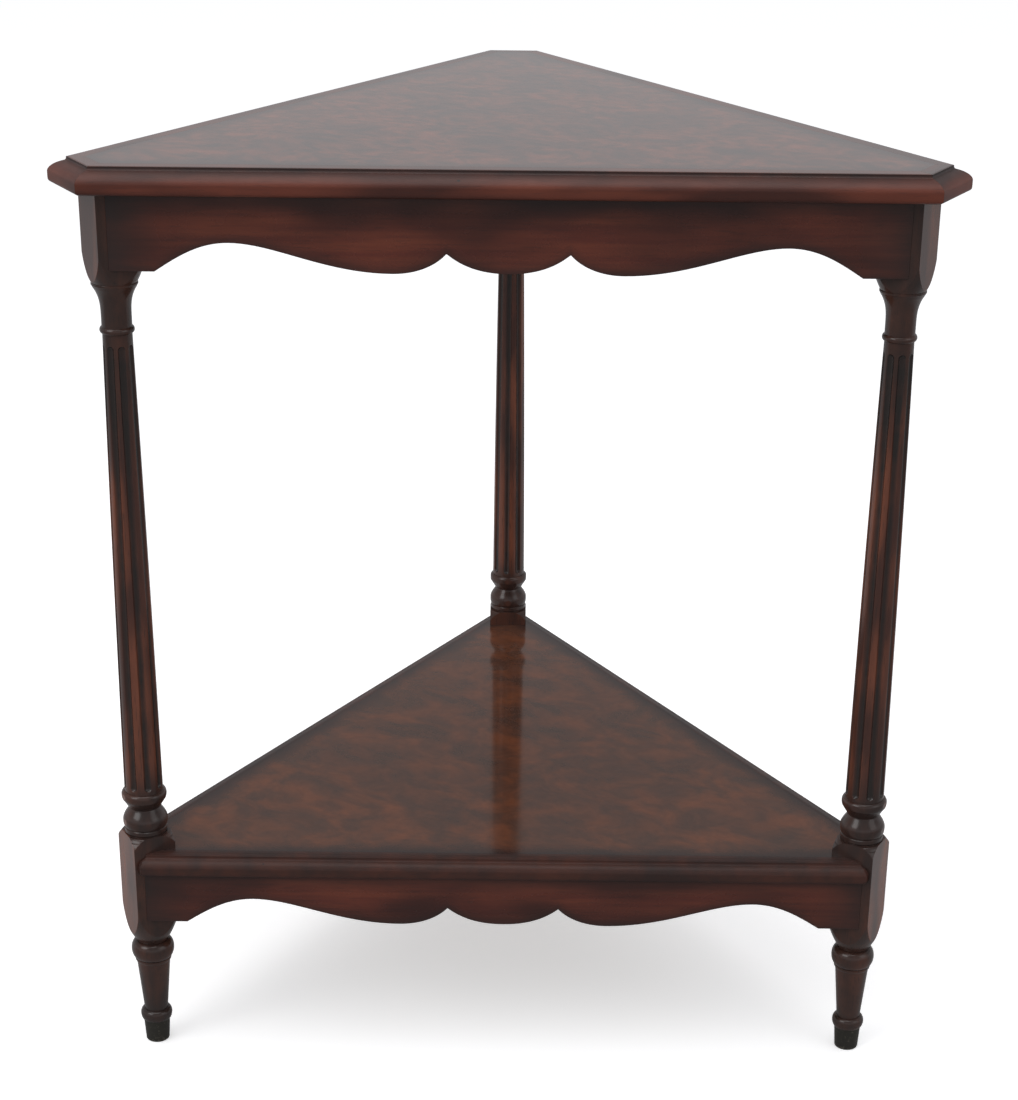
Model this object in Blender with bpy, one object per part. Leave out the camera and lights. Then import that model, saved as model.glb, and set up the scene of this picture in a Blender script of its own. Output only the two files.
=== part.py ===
"""A three-cornered side table with a shelf, in metres, standing on the floor at z = 0.

Three turned legs stand on an equilateral triangle. The front is at -Y and the back leg at +Y. Each group of
three like pieces is one mesh, modelled round the triangle's centre and turned by a third of a circle.
"""
import math

import bmesh
import bpy
from mathutils import Matrix, Vector
from mathutils.geometry import interpolate_bezier

# Driving dimensions
LEG_SPACING = 0.581
TABLE_HEIGHT = 0.738
SHELF_HEIGHT = 0.1835
JOINT_GAP = 0.0003
CUT_OVERRUN = 0.004
WELD_DISTANCE = 0.000001
SHARP_ANGLE = math.radians(32)

# The top: a veneered core inside a mitred moulded edge. Reaches are measured from the line of the leg axes
TOP_THICKNESS = 0.0195
TOP_FIELD_OVERHANG = 0.0303
TOP_CLIP_OVERHANG = 0.0236
TOP_BORDER_WIDTH = 0.012
TOP_RISER_HEIGHT = 0.003
TOP_RISER_LEDGE = 0.0015
TOP_NOSE_REACH = 0.011
TOP_NOSE_HEIGHT = 0.0095
TOP_UNDERCUT = 0.0045
VENEER_THICKNESS = 0.001

# The shelf, made like the top and notched round the legs
SHELF_THICKNESS = 0.0175
SHELF_FIELD_OVERHANG = 0.0225
SHELF_CLIP_OVERHANG = 0.0108
SHELF_BORDER_WIDTH = 0.011
SHELF_RISER_HEIGHT = 0.003
SHELF_RISER_LEDGE = 0.0005
SHELF_NOSE_REACH = 0.00375
SHELF_NOSE_HEIGHT = 0.006
SHELF_UNDERCUT = 0.0025

# Aprons: boards with a scalloped lower edge and a stub tenon at each end
APRON_SETOUT = 0.0208
APRON_THICKNESS = 0.015
UPPER_APRON_DEPTH = 0.058
LOWER_APRON_DEPTH = 0.0432
SCALLOP_END_MARGIN = 0.0075
SCALLOP_RISE = 0.0215
TENON_THICKNESS = 0.008
TENON_LENGTH = 0.012
TENON_SHOULDER = 0.0077

# Half of the scallop from its middle outwards, in Bezier stretches: shares of the half span and of the rise
SCALLOP_SHARES = (
    ((0.0, 0.03), (0.09, 0.03), (0.14, 0.36), (0.175, 0.70)),
    ((0.175, 0.70), (0.20, 0.36), (0.25, 0.0), (0.328, 0.0)),
    ((0.328, 0.0), (0.52, 0.0), (0.66, 1.0), (0.788, 1.0)),
    ((0.788, 1.0), (0.87, 1.0), (0.93, 0.55), (1.0, 0.0)),
)
SCALLOP_POINTS = 6

# Legs: a square blank, turned between and below its blocks. The foot and the column take up the slack
LEG_SQUARE = 0.0355
BLOCK_TURNING_MARGIN = 0.0005
LEG_SIDES = 24
BEAD_STEPS = 4
SHOULDER_STEPS = 5
SPIGOT_CLEARANCE = 0.0003
COLLAR_HEIGHT = 0.0098
COLLAR_RADIUS = 0.013
COLLAR_SEAT_RADIUS = 0.0112
FOOT_LOW_RADIUS = 0.00965
FOOT_HIGH_RADIUS = 0.01365
ANKLE_HEIGHT = 0.0196
ANKLE_NECK_RADIUS = 0.0127
ANKLE_RADIUS = 0.0175
LOWER_SHOULDER_HEIGHT = 0.0414
LOWER_BLOCK_DROP = 0.0465
LOWER_BLOCK_RISE = 0.0015
BLOCK_CROWN_HEIGHT = 0.0114
BLOCK_CROWN_RADIUS = 0.0193
GROOVE_HEIGHT = 0.0006
GROOVE_RADIUS = 0.0166
FILLET_HEIGHT = 0.0042
FILLET_RADIUS = 0.0172
BULB_SEAT_RADIUS = 0.0163
BULB_LOW_HEIGHT = 0.0057
BULB_HIGH_HEIGHT = 0.0113
BULB_RADIUS = 0.018
WAIST_RADIUS = 0.0127
CONE_HEIGHT = 0.0075
CONE_RADIUS = 0.0172
RING_HEIGHT = 0.0074
RING_RADIUS = 0.0181
COLUMN_LOW_RADIUS = 0.0154
COLUMN_HIGH_RADIUS = 0.0112
COLUMN_SWELL = 0.0005
COLUMN_STEPS = 4
ASTRAGAL_HEIGHT = 0.005
ASTRAGAL_RADIUS = 0.0131
NECK_HEIGHT = 0.0075
NECK_RADIUS = 0.0114
BELL_HEIGHT = 0.0226
BELL_RADIUS = 0.0165
STEP_RISE = 0.0014
STEP_HEIGHT = 0.002
STEP_RADIUS = 0.0175
UPPER_SHOULDER_HEIGHT = 0.029
UPPER_BLOCK_HEIGHT = 0.0412

# How steeply the turned stretches swell: powers of the share of the way along
SHOULDER_POWER = 1.8
CROWN_POWER = 1.7
BULB_POWER = 1.4
BELL_POWER = 3.0

# Flutes in the column
FLUTE_COUNT = 8
FLUTE_WIDTH = 0.006
FLUTE_DEPTH = 0.002
FLUTE_LOW_MARGIN = 0.003
FLUTE_HIGH_MARGIN = 0.0085
FLUTE_SIDES = 8
FLUTE_STEPS = 4
FLUTE_TURN = math.radians(37.5)
FLUTE_END_ANGLES = (math.radians(20), math.radians(50))

# Ferrules: dark metal cups round the legs' spigots
FERRULE_HEIGHT = 0.020
FERRULE_LOW_RADIUS = 0.00965
FERRULE_HIGH_RADIUS = 0.01085
FERRULE_WALL = 0.0012
FERRULE_FLOOR = 0.0015
FERRULE_EDGE = 0.0005

# Corner blocks behind the legs, and the screws through them
CORNER_BLOCK_DEPTH = 0.032
UPPER_CORNER_BLOCK_HEIGHT = 0.025
LOWER_CORNER_BLOCK_HEIGHT = 0.020
SCREW_RADIUS = 0.002
SCREW_HEAD_RADIUS = 0.004
SCREW_HEAD_HEIGHT = 0.0024
SCREW_HEAD_ROUND = 0.0008
SCREW_TIP = 0.003
SCREW_BOARD_BITE = 0.012
SCREW_LEG_BITE = 0.015
SCREW_SPREAD = 0.014
SCREW_INSET = 0.016
SCREW_SIDES = 8
SCREW_CLEARANCE = 0.0003
HOLE_SIDES = 12

# Directions of the plan
THIRD = math.tau / 3
HALF_CORNER = THIRD / 2
BACK = math.radians(90)
FRONT = math.radians(270)
LEG_PLACES = ((0, "back"), (THIRD, "front_left"), (-THIRD, "front_right"))
SIDE_PLACES = ((0, "front"), (THIRD, "right"), (-THIRD, "left"))

# Distances from the plan's centre
SIDE_REACH = LEG_SPACING / (2 * math.sqrt(3))
LEG_REACH = LEG_SPACING / math.sqrt(3)
HALF_SQUARE = LEG_SQUARE / 2
BLOCK_TURNING_RADIUS = HALF_SQUARE * math.sqrt(2) + BLOCK_TURNING_MARGIN
APRON_OUTSIDE = SIDE_REACH + APRON_SETOUT
APRON_INSIDE = APRON_OUTSIDE - APRON_THICKNESS
TOP_FIELD_REACH = SIDE_REACH + TOP_FIELD_OVERHANG
TOP_FIELD_CLIP = LEG_REACH + TOP_CLIP_OVERHANG
SHELF_FIELD_REACH = SIDE_REACH + SHELF_FIELD_OVERHANG
SHELF_FIELD_CLIP = LEG_REACH + SHELF_CLIP_OVERHANG
BLOCK_INSIDE = LEG_REACH - HALF_SQUARE - JOINT_GAP
CORNER_BLOCK_INSIDE = BLOCK_INSIDE - CORNER_BLOCK_DEPTH

# Heights
TOP_UNDERSIDE = TABLE_HEIGHT - TOP_THICKNESS
FRAME_TOP = TOP_UNDERSIDE - JOINT_GAP
SHELF_UNDERSIDE = SHELF_HEIGHT - SHELF_THICKNESS
SHELF_FRAME_TOP = SHELF_UNDERSIDE - JOINT_GAP
LOWER_BLOCK_BOTTOM = SHELF_HEIGHT - LOWER_BLOCK_DROP
LOWER_BLOCK_TOP = SHELF_HEIGHT + LOWER_BLOCK_RISE
UPPER_BLOCK_BOTTOM = FRAME_TOP - UPPER_BLOCK_HEIGHT

# The origin is under the middle of the table's box, which the top's moulded edge sets
CENTRE_Y = (TOP_FIELD_REACH - TOP_FIELD_CLIP) / 2


def clear_scene():
    """Removes every object that the scene starts with."""
    for thing in list(bpy.data.objects):
        bpy.data.objects.remove(thing)


def material(name, colour, roughness, metallic=0.0):
    """A plain surface with the piece's colour."""
    made = bpy.data.materials.new(name)
    made.use_nodes = True
    shader = made.node_tree.nodes["Principled BSDF"]
    shader.inputs["Base Color"].default_value = (*colour, 1.0)
    shader.inputs["Roughness"].default_value = roughness
    shader.inputs["Metallic"].default_value = metallic
    made.diffuse_color = (*colour, 1.0)
    return made


def mesh_from(shape):
    """Turns a bmesh into a mesh with its faces pointing out."""
    bmesh.ops.recalc_face_normals(shape, faces=shape.faces)
    mesh = bpy.data.meshes.new("shape")
    shape.to_mesh(mesh)
    shape.free()
    return mesh


def loft(rings):
    """A closed mesh through loops of points that follow one another."""
    shape = bmesh.new()
    loops = [[shape.verts.new(point) for point in ring] for ring in rings]
    for before, after in zip(loops, loops[1:]):
        for here in range(len(before)):
            there = (here + 1) % len(before)
            shape.faces.new((before[here], before[there], after[there], after[here]))
    shape.faces.new(loops[0])
    shape.faces.new(loops[-1])
    return mesh_from(shape)


def prism(outline, bottom, top):
    """A flat outline extruded upwards."""
    return loft([[(x, y, height) for x, y in outline] for height in (bottom, top)])


def turned(profile, sides):
    """A turned solid from points of radius and height, starting and ending on the axis."""
    shape = bmesh.new()
    line = [shape.verts.new((radius, 0, height)) for radius, height in profile]
    edges = [shape.edges.new(pair) for pair in zip(line, line[1:])]
    bmesh.ops.spin(
        shape, geom=line + edges, cent=(0, 0, 0), axis=(0, 0, 1), angle=math.tau, steps=sides,
        use_merge=True,
    )
    bmesh.ops.remove_doubles(shape, verts=shape.verts, dist=WELD_DISTANCE)
    return mesh_from(shape)


def moved(mesh, matrix):
    """A copy of a mesh, moved to a place."""
    copy = mesh.copy()
    copy.transform(matrix)
    return copy


def joined(placed):
    """One mesh of separate bodies, from pairs of mesh and matrix."""
    shape = bmesh.new()
    for mesh, matrix in placed:
        shape.from_mesh(moved(mesh, matrix))
    mesh = bpy.data.meshes.new("shape")
    shape.to_mesh(mesh)
    shape.free()
    return mesh


def combined(base, tool, operation):
    """The base mesh after one Boolean with the tool mesh."""
    body = bpy.data.objects.new("body", base)
    helper = bpy.data.objects.new("helper", tool)
    for thing in (body, helper):
        bpy.context.scene.collection.objects.link(thing)
    boolean = body.modifiers.new("boolean", "BOOLEAN")
    boolean.operation = operation
    boolean.solver = "EXACT"
    boolean.object = helper
    graph = bpy.context.evaluated_depsgraph_get()
    result = bpy.data.meshes.new_from_object(body.evaluated_get(graph))
    for thing in (body, helper):
        bpy.data.objects.remove(thing)
    return result


def finished(mesh, finish):
    """Gives a mesh its material and its smooth and sharp edges."""
    mesh.materials.clear()
    mesh.materials.append(finish)
    mesh.shade_smooth()
    mesh.set_sharp_from_angle(angle=SHARP_ANGLE)
    return mesh


def place(name, mesh, turn=0.0):
    """Puts a mesh on the table, turned round the plan's centre."""
    piece = bpy.data.objects.new(name, mesh)
    piece.location = (0, CENTRE_Y, 0)
    piece.rotation_euler = (0, 0, turn)
    bpy.context.scene.collection.objects.link(piece)
    return piece


def toward(direction, reach, along=0.0):
    """A point of the plan: a reach from the centre in a direction, and a length square to it."""
    return (
        reach * math.cos(direction) - along * math.sin(direction),
        reach * math.sin(direction) + along * math.cos(direction),
    )


def meeting(reach, other_reach):
    """How far along a line at one reach the next line, turned by half a corner, crosses it."""
    return (other_reach - reach * math.cos(HALF_CORNER)) / math.sin(HALF_CORNER)


def clipped_triangle(side_reach, clip_reach):
    """The outline of the top or of the shelf, round from the front edge."""
    half = meeting(side_reach, clip_reach)
    return [toward(FRONT + turn, side_reach, end * half) for turn in (0, THIRD, -THIRD) for end in (-1, 1)]


def edge_profile(surface, thickness, border, riser, ledge, nose_reach, nose_height, undercut):
    """The moulded edge's section, as pairs of offset from the field's edge and height."""
    nose_middle = surface - riser - nose_height
    underside = surface - thickness
    nose_end = ledge + nose_reach
    points = [(-border, surface), (0, surface), (0, surface - riser)]
    for step in range(BEAD_STEPS + 1):
        angle = math.radians(90) * step / BEAD_STEPS
        points.append((ledge + nose_reach * math.sin(angle), nose_middle + nose_height * math.cos(angle)))
    for step in range(1, BEAD_STEPS + 1):
        angle = math.radians(90) * step / BEAD_STEPS
        points.append(
            (
                nose_end - undercut * (1 - math.cos(angle)),
                nose_middle - (nose_middle - underside) * math.sin(angle),
            )
        )
    points.append((-border, underside))
    return points


def bead(bottom, height, low_radius, full_radius, high_radius):
    """A turned bead, as points of radius and height from bottom to top."""
    points = []
    for step in range(BEAD_STEPS + 1):
        angle = math.pi * step / BEAD_STEPS
        climb = (1 - math.cos(angle)) / 2
        base = low_radius + (high_radius - low_radius) * climb
        points.append((base + (full_radius - base) * math.sin(angle), bottom + height * climb))
    return points


def swell(bottom, height, low_radius, high_radius, power):
    """A turned shoulder that swells upwards and eases into its full radius."""
    points = []
    for step in range(SHOULDER_STEPS + 1):
        left = 1 - step / SHOULDER_STEPS
        radius = high_radius - (high_radius - low_radius) * left**power
        points.append((radius, bottom + height * (1 - left)))
    return points


def column_bottom():
    """The height at which the column leaves the ring."""
    bulb = FILLET_HEIGHT + BULB_LOW_HEIGHT + BULB_HIGH_HEIGHT
    return LOWER_BLOCK_TOP + BLOCK_CROWN_HEIGHT + GROOVE_HEIGHT + bulb + CONE_HEIGHT + RING_HEIGHT


def column_top():
    """The height at which the column meets the astragal."""
    rings = ASTRAGAL_HEIGHT + NECK_HEIGHT + BELL_HEIGHT + STEP_RISE + STEP_HEIGHT + UPPER_SHOULDER_HEIGHT
    return UPPER_BLOCK_BOTTOM - rings


def column_radius(height):
    """The column's radius: a straight taper with a slight swell."""
    share = (height - column_bottom()) / (column_top() - column_bottom())
    taper = COLUMN_LOW_RADIUS + (COLUMN_HIGH_RADIUS - COLUMN_LOW_RADIUS) * share
    return taper + COLUMN_SWELL * 4 * share * (1 - share)


def foot_profile():
    """The turned foot, from the spigot's end to the lower block."""
    spigot_bottom = FERRULE_FLOOR + JOINT_GAP
    seat = FERRULE_HEIGHT + JOINT_GAP
    ankle_bottom = LOWER_BLOCK_BOTTOM - LOWER_SHOULDER_HEIGHT - ANKLE_HEIGHT
    points = [
        (0, spigot_bottom),
        (ferrule_inside(spigot_bottom) - SPIGOT_CLEARANCE, spigot_bottom),
        (ferrule_inside(seat) - SPIGOT_CLEARANCE, seat),
    ]
    points += bead(seat, COLLAR_HEIGHT, COLLAR_SEAT_RADIUS, COLLAR_RADIUS, FOOT_LOW_RADIUS)
    points += bead(ankle_bottom, ANKLE_HEIGHT, FOOT_HIGH_RADIUS, ANKLE_RADIUS, ANKLE_NECK_RADIUS)
    shoulder_bottom = LOWER_BLOCK_BOTTOM - LOWER_SHOULDER_HEIGHT
    shoulder = swell(
        shoulder_bottom, LOWER_SHOULDER_HEIGHT, ANKLE_NECK_RADIUS, BLOCK_TURNING_RADIUS, SHOULDER_POWER
    )
    return points + shoulder[1:]


def lower_rings_profile():
    """From the lower block's crown up to the foot of the column."""
    crown = swell(0, BLOCK_CROWN_HEIGHT, BLOCK_CROWN_RADIUS, BLOCK_TURNING_RADIUS, CROWN_POWER)
    crown_top = LOWER_BLOCK_TOP + BLOCK_CROWN_HEIGHT
    points = [(radius, crown_top - height) for radius, height in reversed(crown)]
    fillet_bottom = crown_top + GROOVE_HEIGHT
    fillet_top = fillet_bottom + FILLET_HEIGHT
    bulb_middle = fillet_top + BULB_LOW_HEIGHT
    points += [
        (GROOVE_RADIUS, crown_top),
        (GROOVE_RADIUS, fillet_bottom),
        (FILLET_RADIUS, fillet_bottom),
        (FILLET_RADIUS, fillet_top),
    ]
    bulb = bead(fillet_top, 2 * BULB_LOW_HEIGHT, BULB_SEAT_RADIUS, BULB_RADIUS, BULB_SEAT_RADIUS)
    points += bulb[: BEAD_STEPS // 2 + 1]
    for step in range(1, BEAD_STEPS + 1):
        share = step / BEAD_STEPS
        radius = WAIST_RADIUS + (BULB_RADIUS - WAIST_RADIUS) * (1 - share**2) ** BULB_POWER
        points.append((radius, bulb_middle + BULB_HIGH_HEIGHT * share))
    ring_bottom = bulb_middle + BULB_HIGH_HEIGHT + CONE_HEIGHT
    points += bead(ring_bottom, RING_HEIGHT, CONE_RADIUS, RING_RADIUS, COLUMN_LOW_RADIUS)
    return points


def column_profile():
    """The column between its ring and its astragal."""
    length = column_top() - column_bottom()
    heights = [column_bottom() + length * step / COLUMN_STEPS for step in range(1, COLUMN_STEPS + 1)]
    return [(column_radius(height), height) for height in heights]


def upper_rings_profile():
    """From the astragal up through the bell and the shoulder to the top of the upper block."""
    astragal = bead(column_top(), ASTRAGAL_HEIGHT, COLUMN_HIGH_RADIUS, ASTRAGAL_RADIUS, NECK_RADIUS)
    bell_bottom = column_top() + ASTRAGAL_HEIGHT + NECK_HEIGHT
    bell_top = bell_bottom + BELL_HEIGHT
    bell = []
    for step in range(BEAD_STEPS + 1):
        share = step / BEAD_STEPS
        radius = NECK_RADIUS + (BELL_RADIUS - NECK_RADIUS) * share**BELL_POWER
        bell.append((radius, bell_bottom + BELL_HEIGHT * share))
    step_bottom = bell_top + STEP_RISE
    step_top = step_bottom + STEP_HEIGHT
    shoulder = swell(step_top, UPPER_SHOULDER_HEIGHT, STEP_RADIUS, BLOCK_TURNING_RADIUS, SHOULDER_POWER)
    ends = [(BLOCK_TURNING_RADIUS, FRAME_TOP), (0, FRAME_TOP)]
    return astragal[1:] + bell + [(STEP_RADIUS, step_bottom)] + shoulder + ends


def flute_cutter():
    """One round-ended rod that follows the column's surface, on the leg's own axis frame at +X."""
    bottom = column_bottom() + FLUTE_LOW_MARGIN
    top = column_top() - FLUTE_HIGH_MARGIN
    radius = ((FLUTE_WIDTH / 2) ** 2 + FLUTE_DEPTH**2) / (2 * FLUTE_DEPTH)
    run = top - bottom - 2 * radius
    spans = [bottom + radius + run * step / FLUTE_STEPS for step in range(FLUTE_STEPS + 1)]
    rounds = [(radius * (1 - math.cos(angle)), radius * math.sin(angle)) for angle in FLUTE_END_ANGLES]
    stations = [(bottom + inset, size) for inset, size in rounds]
    stations += [(height, radius) for height in spans]
    stations += [(top - inset, size) for inset, size in reversed(rounds)]
    rings = []
    for height, size in stations:
        middle = column_radius(height) - FLUTE_DEPTH + radius
        ring = []
        for side in range(FLUTE_SIDES):
            angle = math.tau * side / FLUTE_SIDES
            ring.append((middle + size * math.cos(angle), size * math.sin(angle), height))
        rings.append(ring)
    return loft(rings)


def leg_joinery():
    """What is cut from the back leg for the aprons at each block and for the corner blocks' screws."""
    cuts = []
    for top, depth in ((FRAME_TOP, UPPER_APRON_DEPTH), (SHELF_FRAME_TOP, LOWER_APRON_DEPTH)):
        for direction, end in ((BACK - HALF_CORNER, 1), (BACK + HALF_CORNER, -1)):
            outline = tenon_outline(direction, end, JOINT_GAP)
            low = top - depth + TENON_SHOULDER - JOINT_GAP
            mortise = prism(outline, low, top - TENON_SHOULDER + JOINT_GAP)
            cuts.append((mortise, Matrix()))
    screw_hole = hole(BLOCK_INSIDE - CUT_OVERRUN, BLOCK_INSIDE + SCREW_LEG_BITE + JOINT_GAP)
    for height in leg_screw_heights():
        cuts.append((screw_hole, lying(height)))
    return joined(cuts)


def lying(height):
    """Turns a standing shape to run outwards towards the back leg, at a height."""
    return Matrix.Translation((0, 0, height)) @ Matrix.Rotation(-BACK, 4, "X")


def hole(start, end):
    """A round cutter along the axis for one screw's shank."""
    radius = SCREW_RADIUS + SCREW_CLEARANCE
    return turned([(0, start), (radius, start), (radius, end), (0, end)], HOLE_SIDES)


def leg_mesh():
    """The back leg: a turned blank, cut square at its blocks, mortised and fluted."""
    profile = foot_profile() + lower_rings_profile() + column_profile() + upper_rings_profile()
    leg = turned(profile, LEG_SIDES)
    corners = ((1, 1), (-1, 1), (-1, -1), (1, -1))
    square = [(HALF_SQUARE * x, HALF_SQUARE * y) for x, y in corners]
    leg = combined(leg, prism(square, -CUT_OVERRUN, FRAME_TOP + CUT_OVERRUN), "INTERSECT")
    flutes = []
    rod = flute_cutter()
    for flute in range(FLUTE_COUNT):
        turn = BACK + FLUTE_TURN + math.tau * flute / FLUTE_COUNT
        flutes.append((rod, Matrix.Rotation(turn, 4, "Z")))
    leg = combined(leg, joined(flutes), "DIFFERENCE")
    leg.transform(Matrix.Translation((0, LEG_REACH, 0)))
    return combined(leg, leg_joinery(), "DIFFERENCE")


def ferrule_outside(height):
    """The ferrule's outer radius at a height."""
    return FERRULE_LOW_RADIUS + (FERRULE_HIGH_RADIUS - FERRULE_LOW_RADIUS) * height / FERRULE_HEIGHT


def ferrule_inside(height):
    """The ferrule's inner radius at a height."""
    return ferrule_outside(height) - FERRULE_WALL


def ferrule_mesh():
    """The back leg's ferrule: a tapered cup with a flat floor."""
    profile = [
        (0, 0),
        (FERRULE_LOW_RADIUS - FERRULE_EDGE, 0),
        (ferrule_outside(FERRULE_EDGE), FERRULE_EDGE),
        (FERRULE_HIGH_RADIUS, FERRULE_HEIGHT),
        (ferrule_inside(FERRULE_HEIGHT), FERRULE_HEIGHT),
        (ferrule_inside(FERRULE_FLOOR), FERRULE_FLOOR),
        (0, FERRULE_FLOOR),
    ]
    ferrule = turned(profile, LEG_SIDES)
    ferrule.transform(Matrix.Translation((0, LEG_REACH, 0)))
    return ferrule


def block_side_along(reach, gap=0.0):
    """How far along a side, at a reach, the leg block's slanting face stands from the side's middle."""
    run = (reach - SIDE_REACH) * math.tan(HALF_CORNER)
    return LEG_SPACING / 2 + run - (HALF_SQUARE + gap) / math.cos(HALF_CORNER)


def tenon_outline(direction, end, clearance):
    """The plan of a tenon at one end of a side, grown by a clearance for its mortise."""
    middle = APRON_OUTSIDE - APRON_THICKNESS / 2
    half = TENON_THICKNESS / 2 + clearance
    root = block_side_along(APRON_INSIDE) - CUT_OVERRUN
    tip = block_side_along(middle) + TENON_LENGTH + clearance
    corners = [(middle - half, root), (middle + half, root), (middle + half, tip), (middle - half, tip)]
    return [toward(direction, reach, end * along) for reach, along in corners]


def scallop():
    """The lower edge of an apron, from the middle outwards, as pairs of length along and rise."""
    half_span = block_side_along(APRON_INSIDE) - SCALLOP_END_MARGIN
    points = []
    for stretch in SCALLOP_SHARES:
        knots = [Vector((along * half_span, rise * SCALLOP_RISE, 0)) for along, rise in stretch]
        curve = interpolate_bezier(*knots, SCALLOP_POINTS)
        points += [(point.x, point.y) for point in curve[1:]]
    first_share = SCALLOP_SHARES[0][0][1]
    return [(0, first_share * SCALLOP_RISE)] + points


def apron_mesh(top, depth):
    """The front apron under a board: scalloped below, cut to the leg blocks' faces, with stub tenons."""
    bottom = top - depth
    half = [(along, bottom + rise) for along, rise in scallop()]
    overlong = block_side_along(APRON_OUTSIDE) + CUT_OVERRUN
    half += [(overlong, bottom), (overlong, top)]
    outline = [(-along, height) for along, height in reversed(half)] + half[1:]
    rings = []
    for reach in (APRON_INSIDE, APRON_OUTSIDE):
        rings.append([(*toward(FRONT, reach, along), height) for along, height in outline])
    apron = loft(rings)
    for end in (-1, 1):
        apron = combined(apron, apron_end_cutter(end, bottom, top), "DIFFERENCE")
        tenon = prism(tenon_outline(FRONT, end, 0), bottom + TENON_SHOULDER, top - TENON_SHOULDER)
        apron = combined(apron, tenon, "UNION")
    return apron


def apron_end_cutter(end, bottom, top):
    """What trims an apron's end to the slant of the leg block's face."""
    inner = APRON_INSIDE - CUT_OVERRUN
    outer = APRON_OUTSIDE + CUT_OVERRUN
    far = block_side_along(outer) + CUT_OVERRUN
    corners = [
        (inner, block_side_along(inner, JOINT_GAP)),
        (outer, block_side_along(outer, JOINT_GAP)),
        (outer, far),
        (inner, far),
    ]
    outline = [toward(FRONT, reach, end * along) for reach, along in corners]
    return prism(outline, bottom - CUT_OVERRUN, top + CUT_OVERRUN)


def top_edge_section():
    """The section of the top's moulded edge."""
    return edge_profile(
        TABLE_HEIGHT,
        TOP_THICKNESS,
        TOP_BORDER_WIDTH,
        TOP_RISER_HEIGHT,
        TOP_RISER_LEDGE,
        TOP_NOSE_REACH,
        TOP_NOSE_HEIGHT,
        TOP_UNDERCUT,
    )


def mitred_strip(direction, reach, next_reach, section):
    """A straight strip of the moulded edge, mitred at both ends to the strips beside it."""
    mitre_gap = JOINT_GAP / 2 / math.cos(HALF_CORNER / 2)
    rings = []
    for end in (-1, 1):
        ring = []
        for offset, height in section:
            along = meeting(reach + offset, next_reach + offset) - mitre_gap
            ring.append((*toward(direction, reach + offset, end * along), height))
        rings.append(ring)
    return loft(rings)


def shelf_edge_mesh():
    """The front edge of the shelf, which turns both clipped corners and dies against the leg blocks."""
    section = edge_profile(
        SHELF_HEIGHT,
        SHELF_THICKNESS,
        SHELF_BORDER_WIDTH,
        SHELF_RISER_HEIGHT,
        SHELF_RISER_LEDGE,
        SHELF_NOSE_REACH,
        SHELF_NOSE_HEIGHT,
        SHELF_UNDERCUT,
    )
    rings = []
    for end in (-1, 1):
        clip_ring = []
        corner_ring = []
        for offset, height in section:
            reach = SHELF_FIELD_REACH + offset
            clip = SHELF_FIELD_CLIP + offset
            clip_ring.append((*toward(FRONT + end * HALF_CORNER, clip), height))
            corner_ring.append((*toward(FRONT, reach, end * meeting(reach, clip)), height))
        rings += [clip_ring, corner_ring] if end < 0 else [corner_ring, clip_ring]
    return combined(loft(rings), leg_notches(), "DIFFERENCE")


def leg_notches():
    """The three legs' blocks with clearance, to be cut from the shelf."""
    half = HALF_SQUARE + JOINT_GAP
    corners = ((1, 1), (-1, 1), (-1, -1), (1, -1))
    square = [(half * x, LEG_REACH + half * y) for x, y in corners]
    block = prism(square, SHELF_UNDERSIDE - CUT_OVERRUN, SHELF_HEIGHT + CUT_OVERRUN)
    return joined([(block, Matrix.Rotation(turn, 4, "Z")) for turn, _ in LEG_PLACES])


def upright_screw_places():
    """Where the two upright screws behind the back leg stand, as places."""
    reach = CORNER_BLOCK_INSIDE + SCREW_INSET
    return [Matrix.Translation((*toward(BACK, reach, side * SCREW_SPREAD), 0)) for side in (-1, 1)]


def board_holes(underside):
    """Blind holes for the upright screws, in the underside of a board."""
    pilot = hole(underside - CUT_OVERRUN, underside + SCREW_BOARD_BITE + JOINT_GAP)
    turns = [Matrix.Rotation(turn, 4, "Z") for turn, _ in LEG_PLACES]
    return joined([(pilot, turn @ spot) for turn in turns for spot in upright_screw_places()])


def corner_block_mesh(top, height):
    """The block behind the back leg, seated on both aprons, with its three screw holes."""
    apron_face = APRON_INSIDE - JOINT_GAP
    corners = []
    for reach, side in (
        (CORNER_BLOCK_INSIDE, 1),
        (CORNER_BLOCK_INSIDE, -1),
        (BLOCK_INSIDE, -1),
        (BLOCK_INSIDE, 1),
    ):
        corners.append(toward(BACK, reach, side * meeting(reach, apron_face)))
    block = prism(corners, top - height, top)
    upright = hole(top - height - CUT_OVERRUN, top + CUT_OVERRUN)
    holes = [(upright, spot) for spot in upright_screw_places()]
    flat = hole(CORNER_BLOCK_INSIDE - CUT_OVERRUN, BLOCK_INSIDE + CUT_OVERRUN)
    holes.append((flat, lying(top - height / 2)))
    return combined(block, joined(holes), "DIFFERENCE")


def leg_screw_heights():
    """The heights of the screws from the corner blocks into the legs."""
    return (FRAME_TOP - UPPER_CORNER_BLOCK_HEIGHT / 2, SHELF_FRAME_TOP - LOWER_CORNER_BLOCK_HEIGHT / 2)


def screw(seat, length):
    """A pan-headed screw that points up, with its head under the seat."""
    head_top = seat - JOINT_GAP
    head_bottom = head_top - SCREW_HEAD_HEIGHT
    tip = seat + length
    profile = [
        (0, head_bottom),
        (SCREW_HEAD_RADIUS - SCREW_HEAD_ROUND, head_bottom),
        (SCREW_HEAD_RADIUS, head_bottom + SCREW_HEAD_ROUND),
        (SCREW_HEAD_RADIUS, head_top),
        (SCREW_RADIUS, head_top),
        (SCREW_RADIUS, tip - SCREW_TIP),
        (0, tip),
    ]
    return turned(profile, SCREW_SIDES)


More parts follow.
